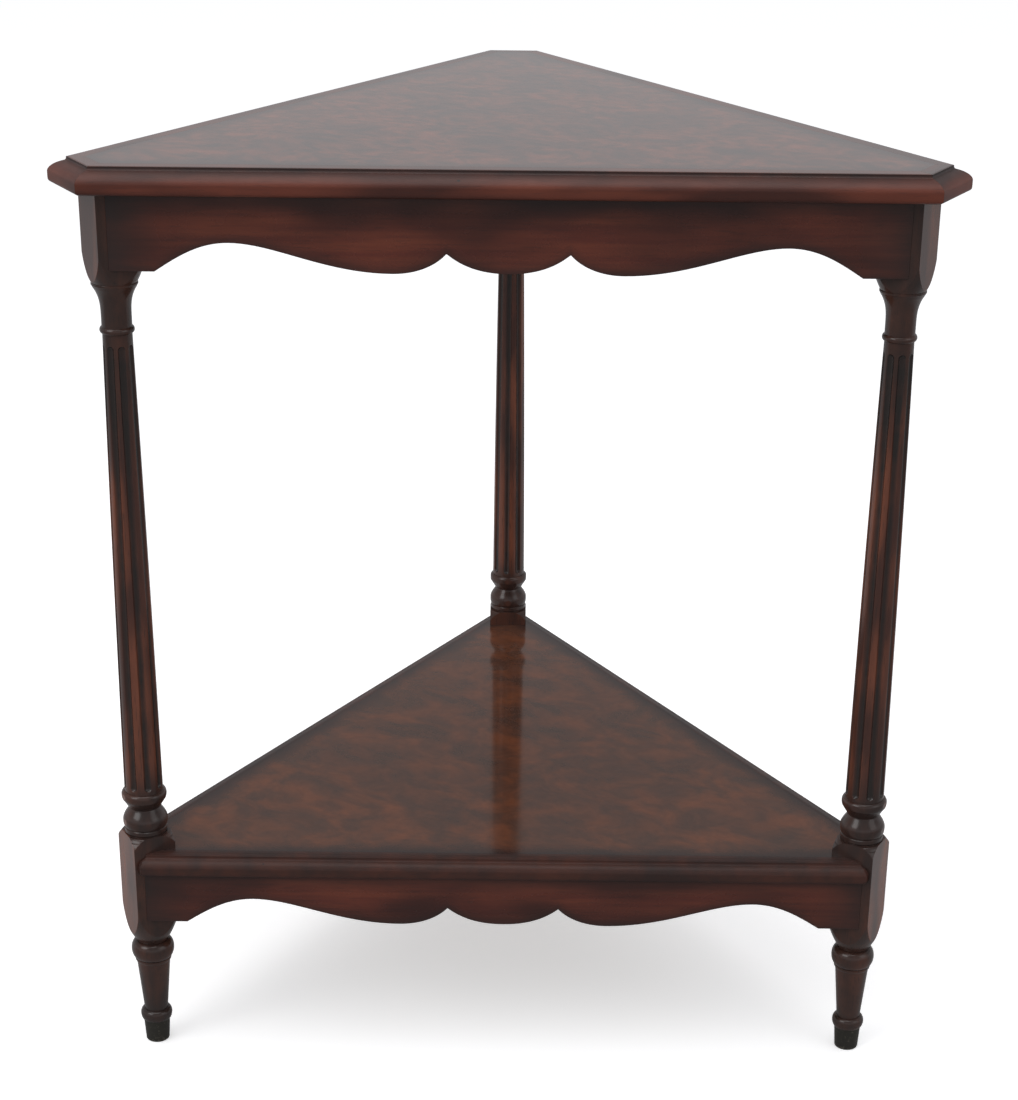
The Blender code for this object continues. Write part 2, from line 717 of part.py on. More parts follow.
def screws_at_a_corner():
    """The screws behind the back leg, as pairs of name and mesh."""
    made = []
    for board, frame_top, block_height in (
        ("top", FRAME_TOP, UPPER_CORNER_BLOCK_HEIGHT),
        ("shelf", SHELF_FRAME_TOP, LOWER_CORNER_BLOCK_HEIGHT),
    ):
        upright = screw(frame_top - block_height, block_height + JOINT_GAP + SCREW_BOARD_BITE)
        for number, spot in enumerate(upright_screw_places(), start=1):
            made.append((f"{board}_screw_{number}", moved(upright, spot)))
    flat = screw(CORNER_BLOCK_INSIDE, CORNER_BLOCK_DEPTH + SCREW_LEG_BITE)
    for level, height in zip(("upper", "lower"), leg_screw_heights()):
        made.append((f"{level}_leg_screw", moved(flat, lying(height))))
    return made


def build_legs(wood, metal):
    """Three legs and their ferrules."""
    leg = finished(leg_mesh(), wood)
    ferrule = finished(ferrule_mesh(), metal)
    for turn, where in LEG_PLACES:
        place(f"leg_{where}", leg, turn)
        place(f"ferrule_{where}", ferrule, turn)


def build_board(name, surface, thickness, side_reach, clip_reach, cuts, core_wood, veneer_wood):
    """A core with its screw holes and any notches, and the veneer laid on it."""
    outline = clipped_triangle(side_reach - JOINT_GAP, clip_reach - JOINT_GAP)
    veneer_bottom = surface - VENEER_THICKNESS
    core = prism(outline, surface - thickness, veneer_bottom - JOINT_GAP)
    veneer = prism(outline, veneer_bottom, surface)
    if cuts:
        core = combined(core, cuts, "DIFFERENCE")
        veneer = combined(veneer, cuts, "DIFFERENCE")
    core = combined(core, board_holes(surface - thickness), "DIFFERENCE")
    place(f"{name}_core", finished(core, core_wood))
    place(f"{name}_veneer", finished(veneer, veneer_wood))


def build_top(wood, veneer_wood, core_wood):
    """The top's core, veneer and six mitred edge strips."""
    side = TOP_FIELD_REACH - TOP_BORDER_WIDTH
    clip = TOP_FIELD_CLIP - TOP_BORDER_WIDTH
    build_board("top", TABLE_HEIGHT, TOP_THICKNESS, side, clip, None, core_wood, veneer_wood)
    section = top_edge_section()
    long_edge = finished(mitred_strip(FRONT, TOP_FIELD_REACH, TOP_FIELD_CLIP, section), wood)
    short_edge = finished(mitred_strip(BACK, TOP_FIELD_CLIP, TOP_FIELD_REACH, section), wood)
    for turn, where in SIDE_PLACES:
        place(f"top_edge_{where}", long_edge, turn)
    for turn, where in LEG_PLACES:
        place(f"top_corner_edge_{where}", short_edge, turn)


def build_shelf(wood, veneer_wood, core_wood):
    """The shelf's core, veneer and three edge strips."""
    side = SHELF_FIELD_REACH - SHELF_BORDER_WIDTH
    clip = SHELF_FIELD_CLIP - SHELF_BORDER_WIDTH
    notches = leg_notches()
    build_board("shelf", SHELF_HEIGHT, SHELF_THICKNESS, side, clip, notches, core_wood, veneer_wood)
    edge = finished(shelf_edge_mesh(), wood)
    for turn, where in SIDE_PLACES:
        place(f"shelf_edge_{where}", edge, turn)


def build_aprons(wood):
    """Three aprons under the top and three under the shelf."""
    upper = finished(apron_mesh(FRAME_TOP, UPPER_APRON_DEPTH), wood)
    lower = finished(apron_mesh(SHELF_FRAME_TOP, LOWER_APRON_DEPTH), wood)
    for turn, where in SIDE_PLACES:
        place(f"upper_apron_{where}", upper, turn)
        place(f"lower_apron_{where}", lower, turn)


def build_corner_blocks(block_wood, metal):
    """Six corner blocks, and three screws through each."""
    upper = finished(corner_block_mesh(FRAME_TOP, UPPER_CORNER_BLOCK_HEIGHT), block_wood)
    lower = finished(corner_block_mesh(SHELF_FRAME_TOP, LOWER_CORNER_BLOCK_HEIGHT), block_wood)
    for turn, where in LEG_PLACES:
        place(f"upper_corner_block_{where}", upper, turn)
        place(f"lower_corner_block_{where}", lower, turn)
    for name, mesh in screws_at_a_corner():
        finished(mesh, metal)
        for turn, where in LEG_PLACES:
            place(f"{name}_{where}", mesh, turn)


def main():
    """Builds the whole table."""
    clear_scene()
    mahogany = material("polished_mahogany", (0.075, 0.016, 0.010), 0.3)
    burl = material("burl_veneer", (0.085, 0.022, 0.012), 0.2)
    core_wood = material("core_board", (0.26, 0.15, 0.08), 0.7)
    block_wood = material("corner_block_wood", (0.42, 0.27, 0.14), 0.75)
    dark_metal = material("ferrule_metal", (0.03, 0.026, 0.022), 0.45, 0.9)
    steel = material("screw_steel", (0.5, 0.5, 0.5), 0.35, 1.0)
    build_legs(mahogany, dark_metal)
    build_aprons(mahogany)
    build_corner_blocks(block_wood, steel)
    build_top(mahogany, burl, core_wood)
    build_shelf(mahogany, burl, core_wood)


main()
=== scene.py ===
"""A three-cornered side table in polished mahogany and burl veneer, with its studio light and camera."""
import logging
import math
from collections.abc import Callable, Sequence
from dataclasses import dataclass
from enum import Enum

import bmesh
import bpy
import numpy as np
from mathutils import Matrix, Vector
from mathutils.geometry import interpolate_bezier


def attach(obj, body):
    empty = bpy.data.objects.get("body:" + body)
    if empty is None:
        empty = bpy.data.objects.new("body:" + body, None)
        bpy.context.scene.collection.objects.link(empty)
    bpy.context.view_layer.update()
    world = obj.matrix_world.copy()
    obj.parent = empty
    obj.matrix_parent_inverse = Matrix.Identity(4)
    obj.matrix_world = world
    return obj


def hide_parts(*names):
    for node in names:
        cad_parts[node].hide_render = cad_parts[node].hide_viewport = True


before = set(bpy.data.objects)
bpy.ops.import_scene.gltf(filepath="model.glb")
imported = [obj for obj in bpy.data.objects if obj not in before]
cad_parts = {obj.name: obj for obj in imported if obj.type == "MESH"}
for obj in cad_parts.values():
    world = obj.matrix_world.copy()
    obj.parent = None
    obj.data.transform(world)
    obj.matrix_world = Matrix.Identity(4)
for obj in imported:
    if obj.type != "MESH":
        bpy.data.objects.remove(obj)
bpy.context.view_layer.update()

MM = 0.001
THIRD = math.tau / 3
HALF_CORNER = THIRD / 2
GRAIN = "grain"
# This attribute holds how deep the dark glazing lies in the hollows, and also painted shade: under the
# boards, at the mouldings' undersides, beside the leg blocks and on the blocks' faces
GLAZE_AND_SHADE = "glaze"
HAIR = 0.001 * MM
TOUCH = 0.01 * MM
SMOOTH = math.radians(35)
PLANK_STEP = (1.37, 0.31, 0.47)
LOG = logging.getLogger("side_table")

Edge = bmesh.types.BMEdge
Piece = bpy.types.Object
Socket = bpy.types.NodeSocket
Inputs = dict[str | int, object]
Profile = list[tuple[float, float]]
Shade = Callable[[np.ndarray], np.ndarray]


class Corner(Enum):
    """The three corners, with their turn from the back leg in thirds of a circle."""

    BACK = 0
    FRONT_LEFT = 1
    FRONT_RIGHT = -1


class Side(Enum):
    """The three sides, with their turn from the front in thirds of a circle."""

    FRONT = 0
    RIGHT = 1
    LEFT = -1


class Level(Enum):
    """The two frames of aprons and corner blocks."""

    UPPER = "upper"
    LOWER = "lower"


def lowered(option: Enum) -> str:
    """The name of an option as the pieces use it."""
    return option.name.lower()


def turn_of(option: Enum) -> float:
    """The turn round the plan's centre of a corner or side, in radians."""
    return option.value * THIRD


def linear(code: str) -> tuple[float, float, float, float]:
    """Turns an sRGB hex colour into the linear colour that a shader takes.

    Args:
        code: Six hex digits after a hash sign.

    Returns:
        Red, green, blue and an alpha of one.
    """
    shares = [int(code[start : start + 2], 16) / 255 for start in (1, 3, 5)]
    red, green, blue = (s / 12.92 if s <= 0.04045 else ((s + 0.055) / 1.055) ** 2.4 for s in shares)
    return red, green, blue, 1.0


@dataclass(frozen=True)
class Plan:
    """The sizes that the table's parts share, in metres from the floor and from the plan's centre."""

    leg_spacing: float = 581 * MM
    leg_square: float = 35.5 * MM
    table_height: float = 738 * MM
    top_thickness: float = 19.5 * MM
    shelf_height: float = 183.5 * MM
    shelf_thickness: float = 17.5 * MM
    joint: float = 0.3 * MM
    seam: float = 0.05 * MM
    top_field: float = 30.3 * MM
    top_clip: float = 23.6 * MM
    shelf_field: float = 22.5 * MM
    shelf_clip: float = 10.8 * MM
    upper_apron: float = 58 * MM
    lower_apron: float = 43.2 * MM

    @property
    def side_reach(self) -> float:
        """From the plan's centre to the line between two legs."""
        return self.leg_spacing / (2 * math.sqrt(3))

    @property
    def leg_reach(self) -> float:
        """From the plan's centre to a leg's axis."""
        return self.leg_spacing / math.sqrt(3)

    @property
    def top_reaches(self) -> tuple[float, float]:
        """From the plan's centre to the edges of the top's field: a side's, and a clipped corner's."""
        return self.side_reach + self.top_field, self.leg_reach + self.top_clip

    @property
    def shelf_reaches(self) -> tuple[float, float]:
        """The same for the shelf's field."""
        return self.side_reach + self.shelf_field, self.leg_reach + self.shelf_clip

    @property
    def centre(self) -> Vector:
        """The plan's centre in the frame, whose origin is under the middle of the table's box."""
        return Vector((0, (self.side_reach + self.top_field - self.leg_reach - self.top_clip) / 2, 0))

    @property
    def frame_top(self) -> float:
        """The height of the upper frame under the top."""
        return self.table_height - self.top_thickness - self.joint

    @property
    def shelf_frame_top(self) -> float:
        """The height of the lower frame under the shelf."""
        return self.shelf_height - self.shelf_thickness - self.joint

    def block_face(self, reach: float, gap: float = 0.0) -> float:
        """How far along a side, at a reach, the leg block's slanting face stands from the side's middle."""
        run = (reach - self.side_reach) * math.tan(HALF_CORNER)
        return self.leg_spacing / 2 + run - (self.leg_square / 2 + gap) / math.cos(HALF_CORNER)


def quarter(steps: int) -> list[tuple[float, float]]:
    """The sine and the cosine at even steps of a quarter turn."""
    angles = [math.pi / 2 * step / steps for step in range(steps + 1)]
    return [(math.sin(angle), math.cos(angle)) for angle in angles]


def meeting(reach: float, other: float) -> float:
    """How far along a line at one reach the next line, half a corner on, crosses it.

    Args:
        reach: The line's distance from the plan's centre.
        other: The next line's distance from it.

    Returns:
        The length along the first line, from its middle.
    """
    return (other - reach * math.cos(HALF_CORNER)) / math.sin(HALF_CORNER)


class Bench:
    """The workbench: Blender's modelling operators, used as by hand on one piece at a time."""

    def __init__(self, plan: Plan) -> None:
        """Keeps the plan that copies are placed by."""
        self.plan = plan

    def clear(self) -> None:
        """Leaves edit mode and deselects everything."""
        if bpy.context.object is not None and bpy.context.object.mode != "OBJECT":
            bpy.ops.object.mode_set(mode="OBJECT")
        bpy.ops.object.select_all(action="DESELECT")

    def take(self, piece: Piece) -> None:
        """Selects one piece alone and makes it active.

        Args:
            piece: The piece.
        """
        self.clear()
        piece.select_set(True)
        bpy.context.view_layer.objects.active = piece

    def edit(self, piece: Piece) -> None:
        """Takes a piece into edit mode with all of it selected.

        Args:
            piece: The piece.
        """
        self.take(piece)
        bpy.ops.object.mode_set(mode="EDIT")
        self.whole()

    def whole(self, outward: bool = False) -> None:
        """Selects the whole piece in edit mode, and turns its faces outward if asked.

        Args:
            outward: Whether to turn the faces outward.
        """
        bpy.ops.mesh.select_all(action="SELECT")
        if outward:
            bpy.ops.mesh.normals_make_consistent(inside=False)

    def settle(self, piece: Piece) -> None:
        """Takes a piece, out of edit mode, and moves its place, turn and size into its mesh."""
        self.take(piece)
        bpy.ops.object.transform_apply(location=True, rotation=True, scale=True)

    def draw(self, name: str, points: Sequence[Sequence[float]]) -> Piece:
        """Draws a line by extruding one vertex from point to point, and stays in edit mode.

        Args:
            name: The new piece's name.
            points: The line's points in the frame.

        Returns:
            The piece, whose last vertex is selected.
        """
        spots = [Vector(point) for point in points]
        self.clear()
        bpy.ops.mesh.primitive_plane_add(size=MM, location=spots[0])
        piece = bpy.context.object
        piece.name = name
        bpy.ops.object.mode_set(mode="EDIT")
        bpy.ops.mesh.select_mode(type="VERT")
        self.whole()
        bpy.ops.mesh.merge(type="CENTER")
        for here, there in zip(spots, spots[1:]):
            bpy.ops.mesh.extrude_region_move(TRANSFORM_OT_translate={"value": there - here})
        return piece

    def extrude(self, way: Sequence[float]) -> None:
        """Extrudes what is selected by a vector."""
        bpy.ops.mesh.extrude_region_move(TRANSFORM_OT_translate={"value": Vector(way)})

    def board(self, name: str, outline: Sequence[Sequence[float]], way: Sequence[float]) -> Piece:
        """Draws a closed outline, fills it and extrudes it, and stays in edit mode with all of it selected.

        Args:
            name: The new piece's name.
            outline: The outline's points in the frame.
            way: The vector to extrude by.

        Returns:
            The solid piece.
        """
        piece = self.draw(name, outline)
        self.whole()
        bpy.ops.mesh.edge_face_add()
        self.extrude(way)
        self.whole(outward=True)
        return piece

    def lathe(self, name: str, profile: Profile, steps: int) -> Piece:
        """Turns a profile of radius and height round the frame's upright axis.

        Args:
            name: The new piece's name.
            profile: The profile, which starts and ends on the axis.
            steps: How many steps the turn has.

        Returns:
            The turned piece, in object mode.
        """
        piece = self.draw(name, [(radius, 0, height) for radius, height in profile])
        self.whole()
        bpy.ops.mesh.spin(steps=steps, angle=math.tau, center=(0, 0, 0), axis=(0, 0, 1), use_auto_merge=True)
        self.whole()
        bpy.ops.mesh.remove_doubles(threshold=HAIR)
        self.whole(outward=True)
        self.clear()
        return piece

    def saw(self, place: Sequence[float], normal: Sequence[float], close: bool = True) -> None:
        """Cuts off what lies beyond a plane, closes the cut of a solid and selects the whole piece again.

        Args:
            place: A point of the plane.
            normal: The plane's normal, towards what is cut off.
            close: Whether the cut of a solid is closed.
        """
        sides = {"use_fill": close, "clear_outer": True}
        bpy.ops.mesh.bisect(plane_co=place, plane_no=normal, threshold=HAIR, **sides)
        self.whole()

    def pick_edges(self, piece: Piece, wanted: Callable[[Edge], bool]) -> int:
        """Selects the edges of a piece in edit mode that pass a test, and says how many there are.

        Args:
            piece: The piece.
            wanted: The test.

        Returns:
            How many edges passed.
        """
        bpy.ops.mesh.select_mode(type="EDGE")
        bpy.ops.mesh.select_all(action="DESELECT")
        mesh = bmesh.from_edit_mesh(piece.data)
        picked = [edge for edge in mesh.edges if wanted(edge)]
        for edge in picked:
            edge.select_set(True)
        bmesh.update_edit_mesh(piece.data)
        return len(picked)

    def ease(self, piece: Piece, width: float, steps: int, least: float = math.radians(30)) -> None:
        """Rounds every arris of a piece in edit mode that turns by more than the least angle.

        Args:
            piece: The piece.
            width: The rounding's width.
            steps: The rounding's segments.
            least: The least angle.
        """

        def sharp(edge: Edge) -> bool:
            """Whether the edge turns by more than the least angle."""
            return len(edge.link_faces) == 2 and edge.calc_face_angle(0) > least

        if self.pick_edges(piece, sharp):
            bpy.ops.mesh.bevel(offset=width, segments=steps, affect="EDGES", clamp_overlap=True)
        self.whole()

    def apply(self, piece: Piece, kind: str, **settings: object) -> None:
        """Adds one modifier to a piece and applies it.

        Args:
            piece: The piece.
            kind: The modifier's type.
            settings: The modifier's settings.
        """
        self.take(piece)
        modifier = piece.modifiers.new(kind.lower(), kind)
        for name, value in settings.items():
            setattr(modifier, name, value)
        bpy.ops.object.modifier_apply(modifier=modifier.name)

    def combine(self, piece: Piece, tool: Piece, operation: str) -> None:
        """Cuts a piece with a tool piece by one exact Boolean, and removes the tool."""
        self.apply(piece, "BOOLEAN", operation=operation, solver="EXACT", object=tool)
        bpy.data.objects.remove(tool)

    def join(self, pieces: Sequence[Piece]) -> Piece:
        """Joins pieces into the first one.

        Args:
            pieces: The pieces, in object mode.

        Returns:
            The first piece.
        """
        self.take(pieces[0])
        for piece in pieces:
            piece.select_set(True)
        bpy.ops.object.join()
        return pieces[0]

    def smooth(self, piece: Piece, angle: float = SMOOTH) -> None:
        """Settles a piece, smooths its faces up to an angle and weighs its normals by area.

        Args:
            piece: The piece.
            angle: The angle.
        """
        self.settle(piece)
        bpy.ops.object.shade_smooth_by_angle(angle=angle)
        self.apply(piece, "WEIGHTED_NORMAL", keep_sharp=True, weight=60)

    def record(self, piece: Piece, along: Sequence[float], shade: Shade) -> None:
        """Stores the lie of the grain, and the depth of the dark glazing and of the painted shade, in a
        piece's vertices.

        Args:
            piece: The piece, modelled at its first place.
            along: The grain's direction.
            shade: Gives the depth of the glazing and the painted shade, from nothing to one, at points of
                the piece.
        """
        mesh = piece.data
        points = np.empty(len(mesh.vertices) * 3)
        mesh.vertices.foreach_get("co", points)
        points = points.reshape(-1, 3)
        lie = Vector((1, 0, 0)).rotation_difference(Vector(along)).to_matrix()
        grain = points @ np.array(lie)
        mesh.attributes.new(GRAIN, "FLOAT_VECTOR", "POINT").data.foreach_set("vector", grain.ravel())
        depth = np.clip(shade(points), 0, 1)
        mesh.attributes.new(GLAZE_AND_SHADE, "FLOAT", "POINT").data.foreach_set("value", depth.astype(np.float32))

    def copy(self, piece: Piece, name: str, turn: float, number: int) -> Piece:
        """Copies a piece with its own mesh to its place round the plan's centre.

        Args:
            piece: The piece, modelled round the frame's origin.
            name: The copy's name.
            turn: The turn round the plan's centre.
            number: The copy's number, which moves its grain to another part of the plank.

        Returns:
            The copy, whose place is in its mesh.
        """
        self.clear()
        twin = piece.copy()
        twin.data = piece.data.copy()
        twin.name = name
        twin.data.name = name
        bpy.context.scene.collection.objects.link(twin)
        if GRAIN in twin.data.attributes:
            values = np.empty(len(twin.data.vertices) * 3, np.float32)
            twin.data.attributes[GRAIN].data.foreach_get("vector", values)
            values.reshape(-1, 3)[:] += np.array(PLANK_STEP) * number
            twin.data.attributes[GRAIN].data.foreach_set("vector", values)
        twin.location = self.plan.centre
        twin.rotation_euler = (0, 0, turn)
        self.settle(twin)
        return twin


class Shader:
    """The node tree of one material, or of the room, while it is put together."""

    def __init__(self, owner: bpy.types.Material | bpy.types.World) -> None:
        """Empties the owner's node tree.

        Args:
            owner: The material or the world.
        """
        owner.use_nodes = True
        self.owner = owner
        self.tree = owner.node_tree
        self.tree.nodes.clear()

    def add(self, kind: str, inputs: Inputs | None = None, **settings: object) -> bpy.types.Node:
        """Adds a node with its settings and links.

        Args:
            kind: The node's type.
            inputs: Values, or output sockets to link, by the name or number of the input.
            settings: The node's own settings.

        Returns:
            The node.
        """
        node = self.tree.nodes.new(kind)
        for name, value in settings.items():
            setattr(node, name, value)
        for socket, value in (inputs or {}).items():
            if isinstance(value, Socket):
                self.tree.links.new(value, node.inputs[socket])
            else:
                node.inputs[socket].default_value = value
        return node

    def math(self, operation: str, *values: object, clamp: bool = False) -> Socket:
        """The result of one operation on numbers or sockets."""
        inputs = dict(enumerate(values))
        return self.add("ShaderNodeMath", inputs, operation=operation, use_clamp=clamp).outputs[0]

    def vector(self, operation: str, inputs: Inputs, output: int = 0) -> Socket:
        """The result of one operation on vectors."""
        return self.add("ShaderNodeVectorMath", inputs, operation=operation).outputs[output]

    def spread(
        self,
        value: Socket,
        low: float = 0.0,
        high: float = 1.0,
        start: float = 0.0,
        end: float = 1.0,
        smooth: bool = False,
    ) -> Socket:
        """Spreads the values between two levels over the span from a start to an end.

        Args:
            value: The value.
            low: The level that becomes the start.
            high: The level that becomes the end.
            start: The result at and below the low level.
            end: The result at and above the high level.
            smooth: Whether the result eases in and out.

        Returns:
            The result.
        """
        inputs = {"Value": value, "From Min": low, "From Max": high, "To Min": start, "To Max": end}
        kind = "SMOOTHSTEP" if smooth else "LINEAR"
        return self.add("ShaderNodeMapRange", inputs, interpolation_type=kind).outputs[0]

    def blend(self, share: Socket, first: str | Socket, second: str | Socket) -> Socket:
        """The colour between two others, each a hex colour or a socket."""
        ends = [linear(end) if isinstance(end, str) else end for end in (first, second)]
        return self.add("ShaderNodeMix", {0: share, 6: ends[0], 7: ends[1]}, data_type="RGBA").outputs[2]

    def mapping(self, place: Socket, **inputs: Sequence[float]) -> Socket:
        """A place after its location, rotation or scale is changed."""
        settings = {name.capitalize(): value for name, value in inputs.items()}
        return self.add("ShaderNodeMapping", {"Vector": place, **settings}).outputs[0]

    def noise(
        self,
        place: Socket,
        size: float,
        detail: float,
        roughness: float = 0.5,
        distortion: float = 0.0,
        output: int = 0,
    ) -> Socket:
        """Soft noise with waves of about one size.

        Args:
            place: Where the noise is read.
            size: The waves' size.
            detail: How many finer layers it has.
            roughness: How strong each finer layer is.
            distortion: How far it is bent.
            output: Nothing for a value, one for a colour.

        Returns:
            The noise.
        """
        inputs = {"Vector": place, "Scale": 1 / size, "Detail": detail, "Roughness": roughness}
        return self.add("ShaderNodeTexNoise", {**inputs, "Distortion": distortion}).outputs[output]

    def bump(self, height: Socket, strength: float, depth: float) -> Socket:
        """The normal over a relief of a depth."""
        inputs = {"Height": height, "Strength": strength, "Distance": depth}
        return self.add("ShaderNodeBump", inputs).outputs[0]

    def coat(self, colour: Socket, roughness: float | Socket, **inputs: object) -> bpy.types.Material:
        """Finishes the material with one surface of a colour and a roughness, and other inputs by name.

        Args:
            colour: The base colour.
            roughness: The roughness.
            inputs: Other inputs of the shader, by name.

        Returns:
            The material.
        """
        values = {"Base Color": colour, "Roughness": roughness}
        values.update({name.replace("_", " "): value for name, value in inputs.items()})
        return self.finish(self.add("ShaderNodeBsdfPrincipled", values).outputs[0])

    def finish(self, surface: Socket, output: str = "ShaderNodeOutputMaterial") -> bpy.types.ID:
        """Links the surface to the output and returns the owner."""
        self.add(output, {"Surface": surface})
        return self.owner


@dataclass(frozen=True)
class PolishedMahogany:
    """Solid mahogany, stained dark red, glazed in its hollows and finished with a clear gloss lacquer.

    The eye sees a deep red-brown that glows where the glaze was rubbed off, near-black quirks and edges,
    short dark pores along the grain, and a soft reflection of the room.
    """

    name: str
    deep: str
    warm: str
    glow: str
    # The dark colour of the glazing, which also paints the shade that the attribute holds
    glaze: str
    roughness: float = 0.26
    waxy: float = 0.38
    level: float = 0.12
    specular: float = 0.5
    figure: float = 30 * MM
    stretch: float = 0.25
    spread: tuple[float, float] = (0.34, 0.66)
    glow_share: float = 0.3
    streak_size: float = 5 * MM
    streak_stretch: float = 0.04
    streak_levels: tuple[float, float] = (0.35, 0.7)
    pore_size: float = 0.9 * MM
    pore_stretch: float = 0.06
    pore_levels: tuple[float, float] = (0.6, 0.72)
    pores: float = 0.3
    knock_spacing: float = 26 * MM
    knock_levels: tuple[float, float] = (0.03, 0.05)
    knocks: float = 0.0
    wiping_size: float = 14 * MM
    wiped_shares: tuple[float, float] = (0.72, 1.2)
    handled_shares: tuple[float, float] = (0.85, 1.2)
    flat_levels: tuple[float, float] = (0.985, 0.999)

    def build(self) -> bpy.types.Material:
        """Makes the material.

        Returns:
            The material.
        """
        shader = Shader(bpy.data.materials.new(self.name))
        grain = shader.add("ShaderNodeAttribute", attribute_name=GRAIN).outputs["Vector"]
        hollow = shader.add("ShaderNodeAttribute", attribute_name=GLAZE_AND_SHADE).outputs["Fac"]
        # Where the glaze was rubbed through: soft patches, longer than they are wide
        clouds = shader.noise(shader.mapping(grain, scale=(self.stretch, 1, 1)), self.figure, 2)
        tone = shader.spread(clouds, *self.spread, smooth=True)
        # Growth streaks a few millimetres apart, and open pores drawn 0.5 mm wide, twice their real width
        drawn = shader.mapping(grain, scale=(self.streak_stretch, 1, 1))
        streaks = shader.noise(drawn, self.streak_size, 4, 0.6)
        short = shader.mapping(grain, scale=(self.pore_stretch, 1, 1))
        dashes = shader.noise(short, self.pore_size, 1)
        lit = shader.math("MULTIPLY", shader.spread(streaks, *self.streak_levels), tone)
        body = shader.blend(tone, self.deep, self.warm)
        warmed = shader.blend(shader.math("MULTIPLY", lit, self.glow_share), body, self.glow)
        pore = shader.spread(dashes, *self.pore_levels, 0.0, self.pores)
        porous = shader.blend(pore, warmed, self.glaze)
        # Old knocks a millimetre or two across, filled with dark wax
        spots = {"Vector": grain, "Scale": 1 / self.knock_spacing}
        cells = shader.add("ShaderNodeTexVoronoi", spots).outputs[0]
        knock = shader.spread(cells, *self.knock_levels, self.knocks, 0.0)
        # The glazing lies unevenly, as it was wiped by hand; where the attribute holds painted shade, the
        # same dark colour paints that shade
        wiping = shader.noise(grain, self.wiping_size, 3)
        lying = shader.math("MULTIPLY", hollow, shader.spread(wiping, 0, 1, *self.wiped_shares))
        colour = shader.blend(shader.math("ADD", lying, knock, clamp=True), porous, self.glaze)
        # Lacquer: clear on the crests, waxy over the glaze, rubbed flat on level faces, and worn by handling
        polish = shader.spread(hollow, start=self.roughness, end=self.waxy)
        normal = shader.add("ShaderNodeNewGeometry").outputs["Normal"]
        upward = shader.add("ShaderNodeSeparateXYZ", {"Vector": normal}).outputs[2]
        flatness = shader.spread(upward, *self.flat_levels)
        rubbed = shader.add("ShaderNodeMix", {0: flatness, 2: polish, 3: self.level}).outputs[0]
        sheen = shader.math("MULTIPLY", rubbed, shader.spread(wiping, 0, 1, *self.handled_shares))
        relief = shader.bump(streaks, 0.2, 0.05 * MM)
        return shader.coat(colour, sheen, IOR=1.5, Specular_IOR_Level=self.specular, Normal=relief)


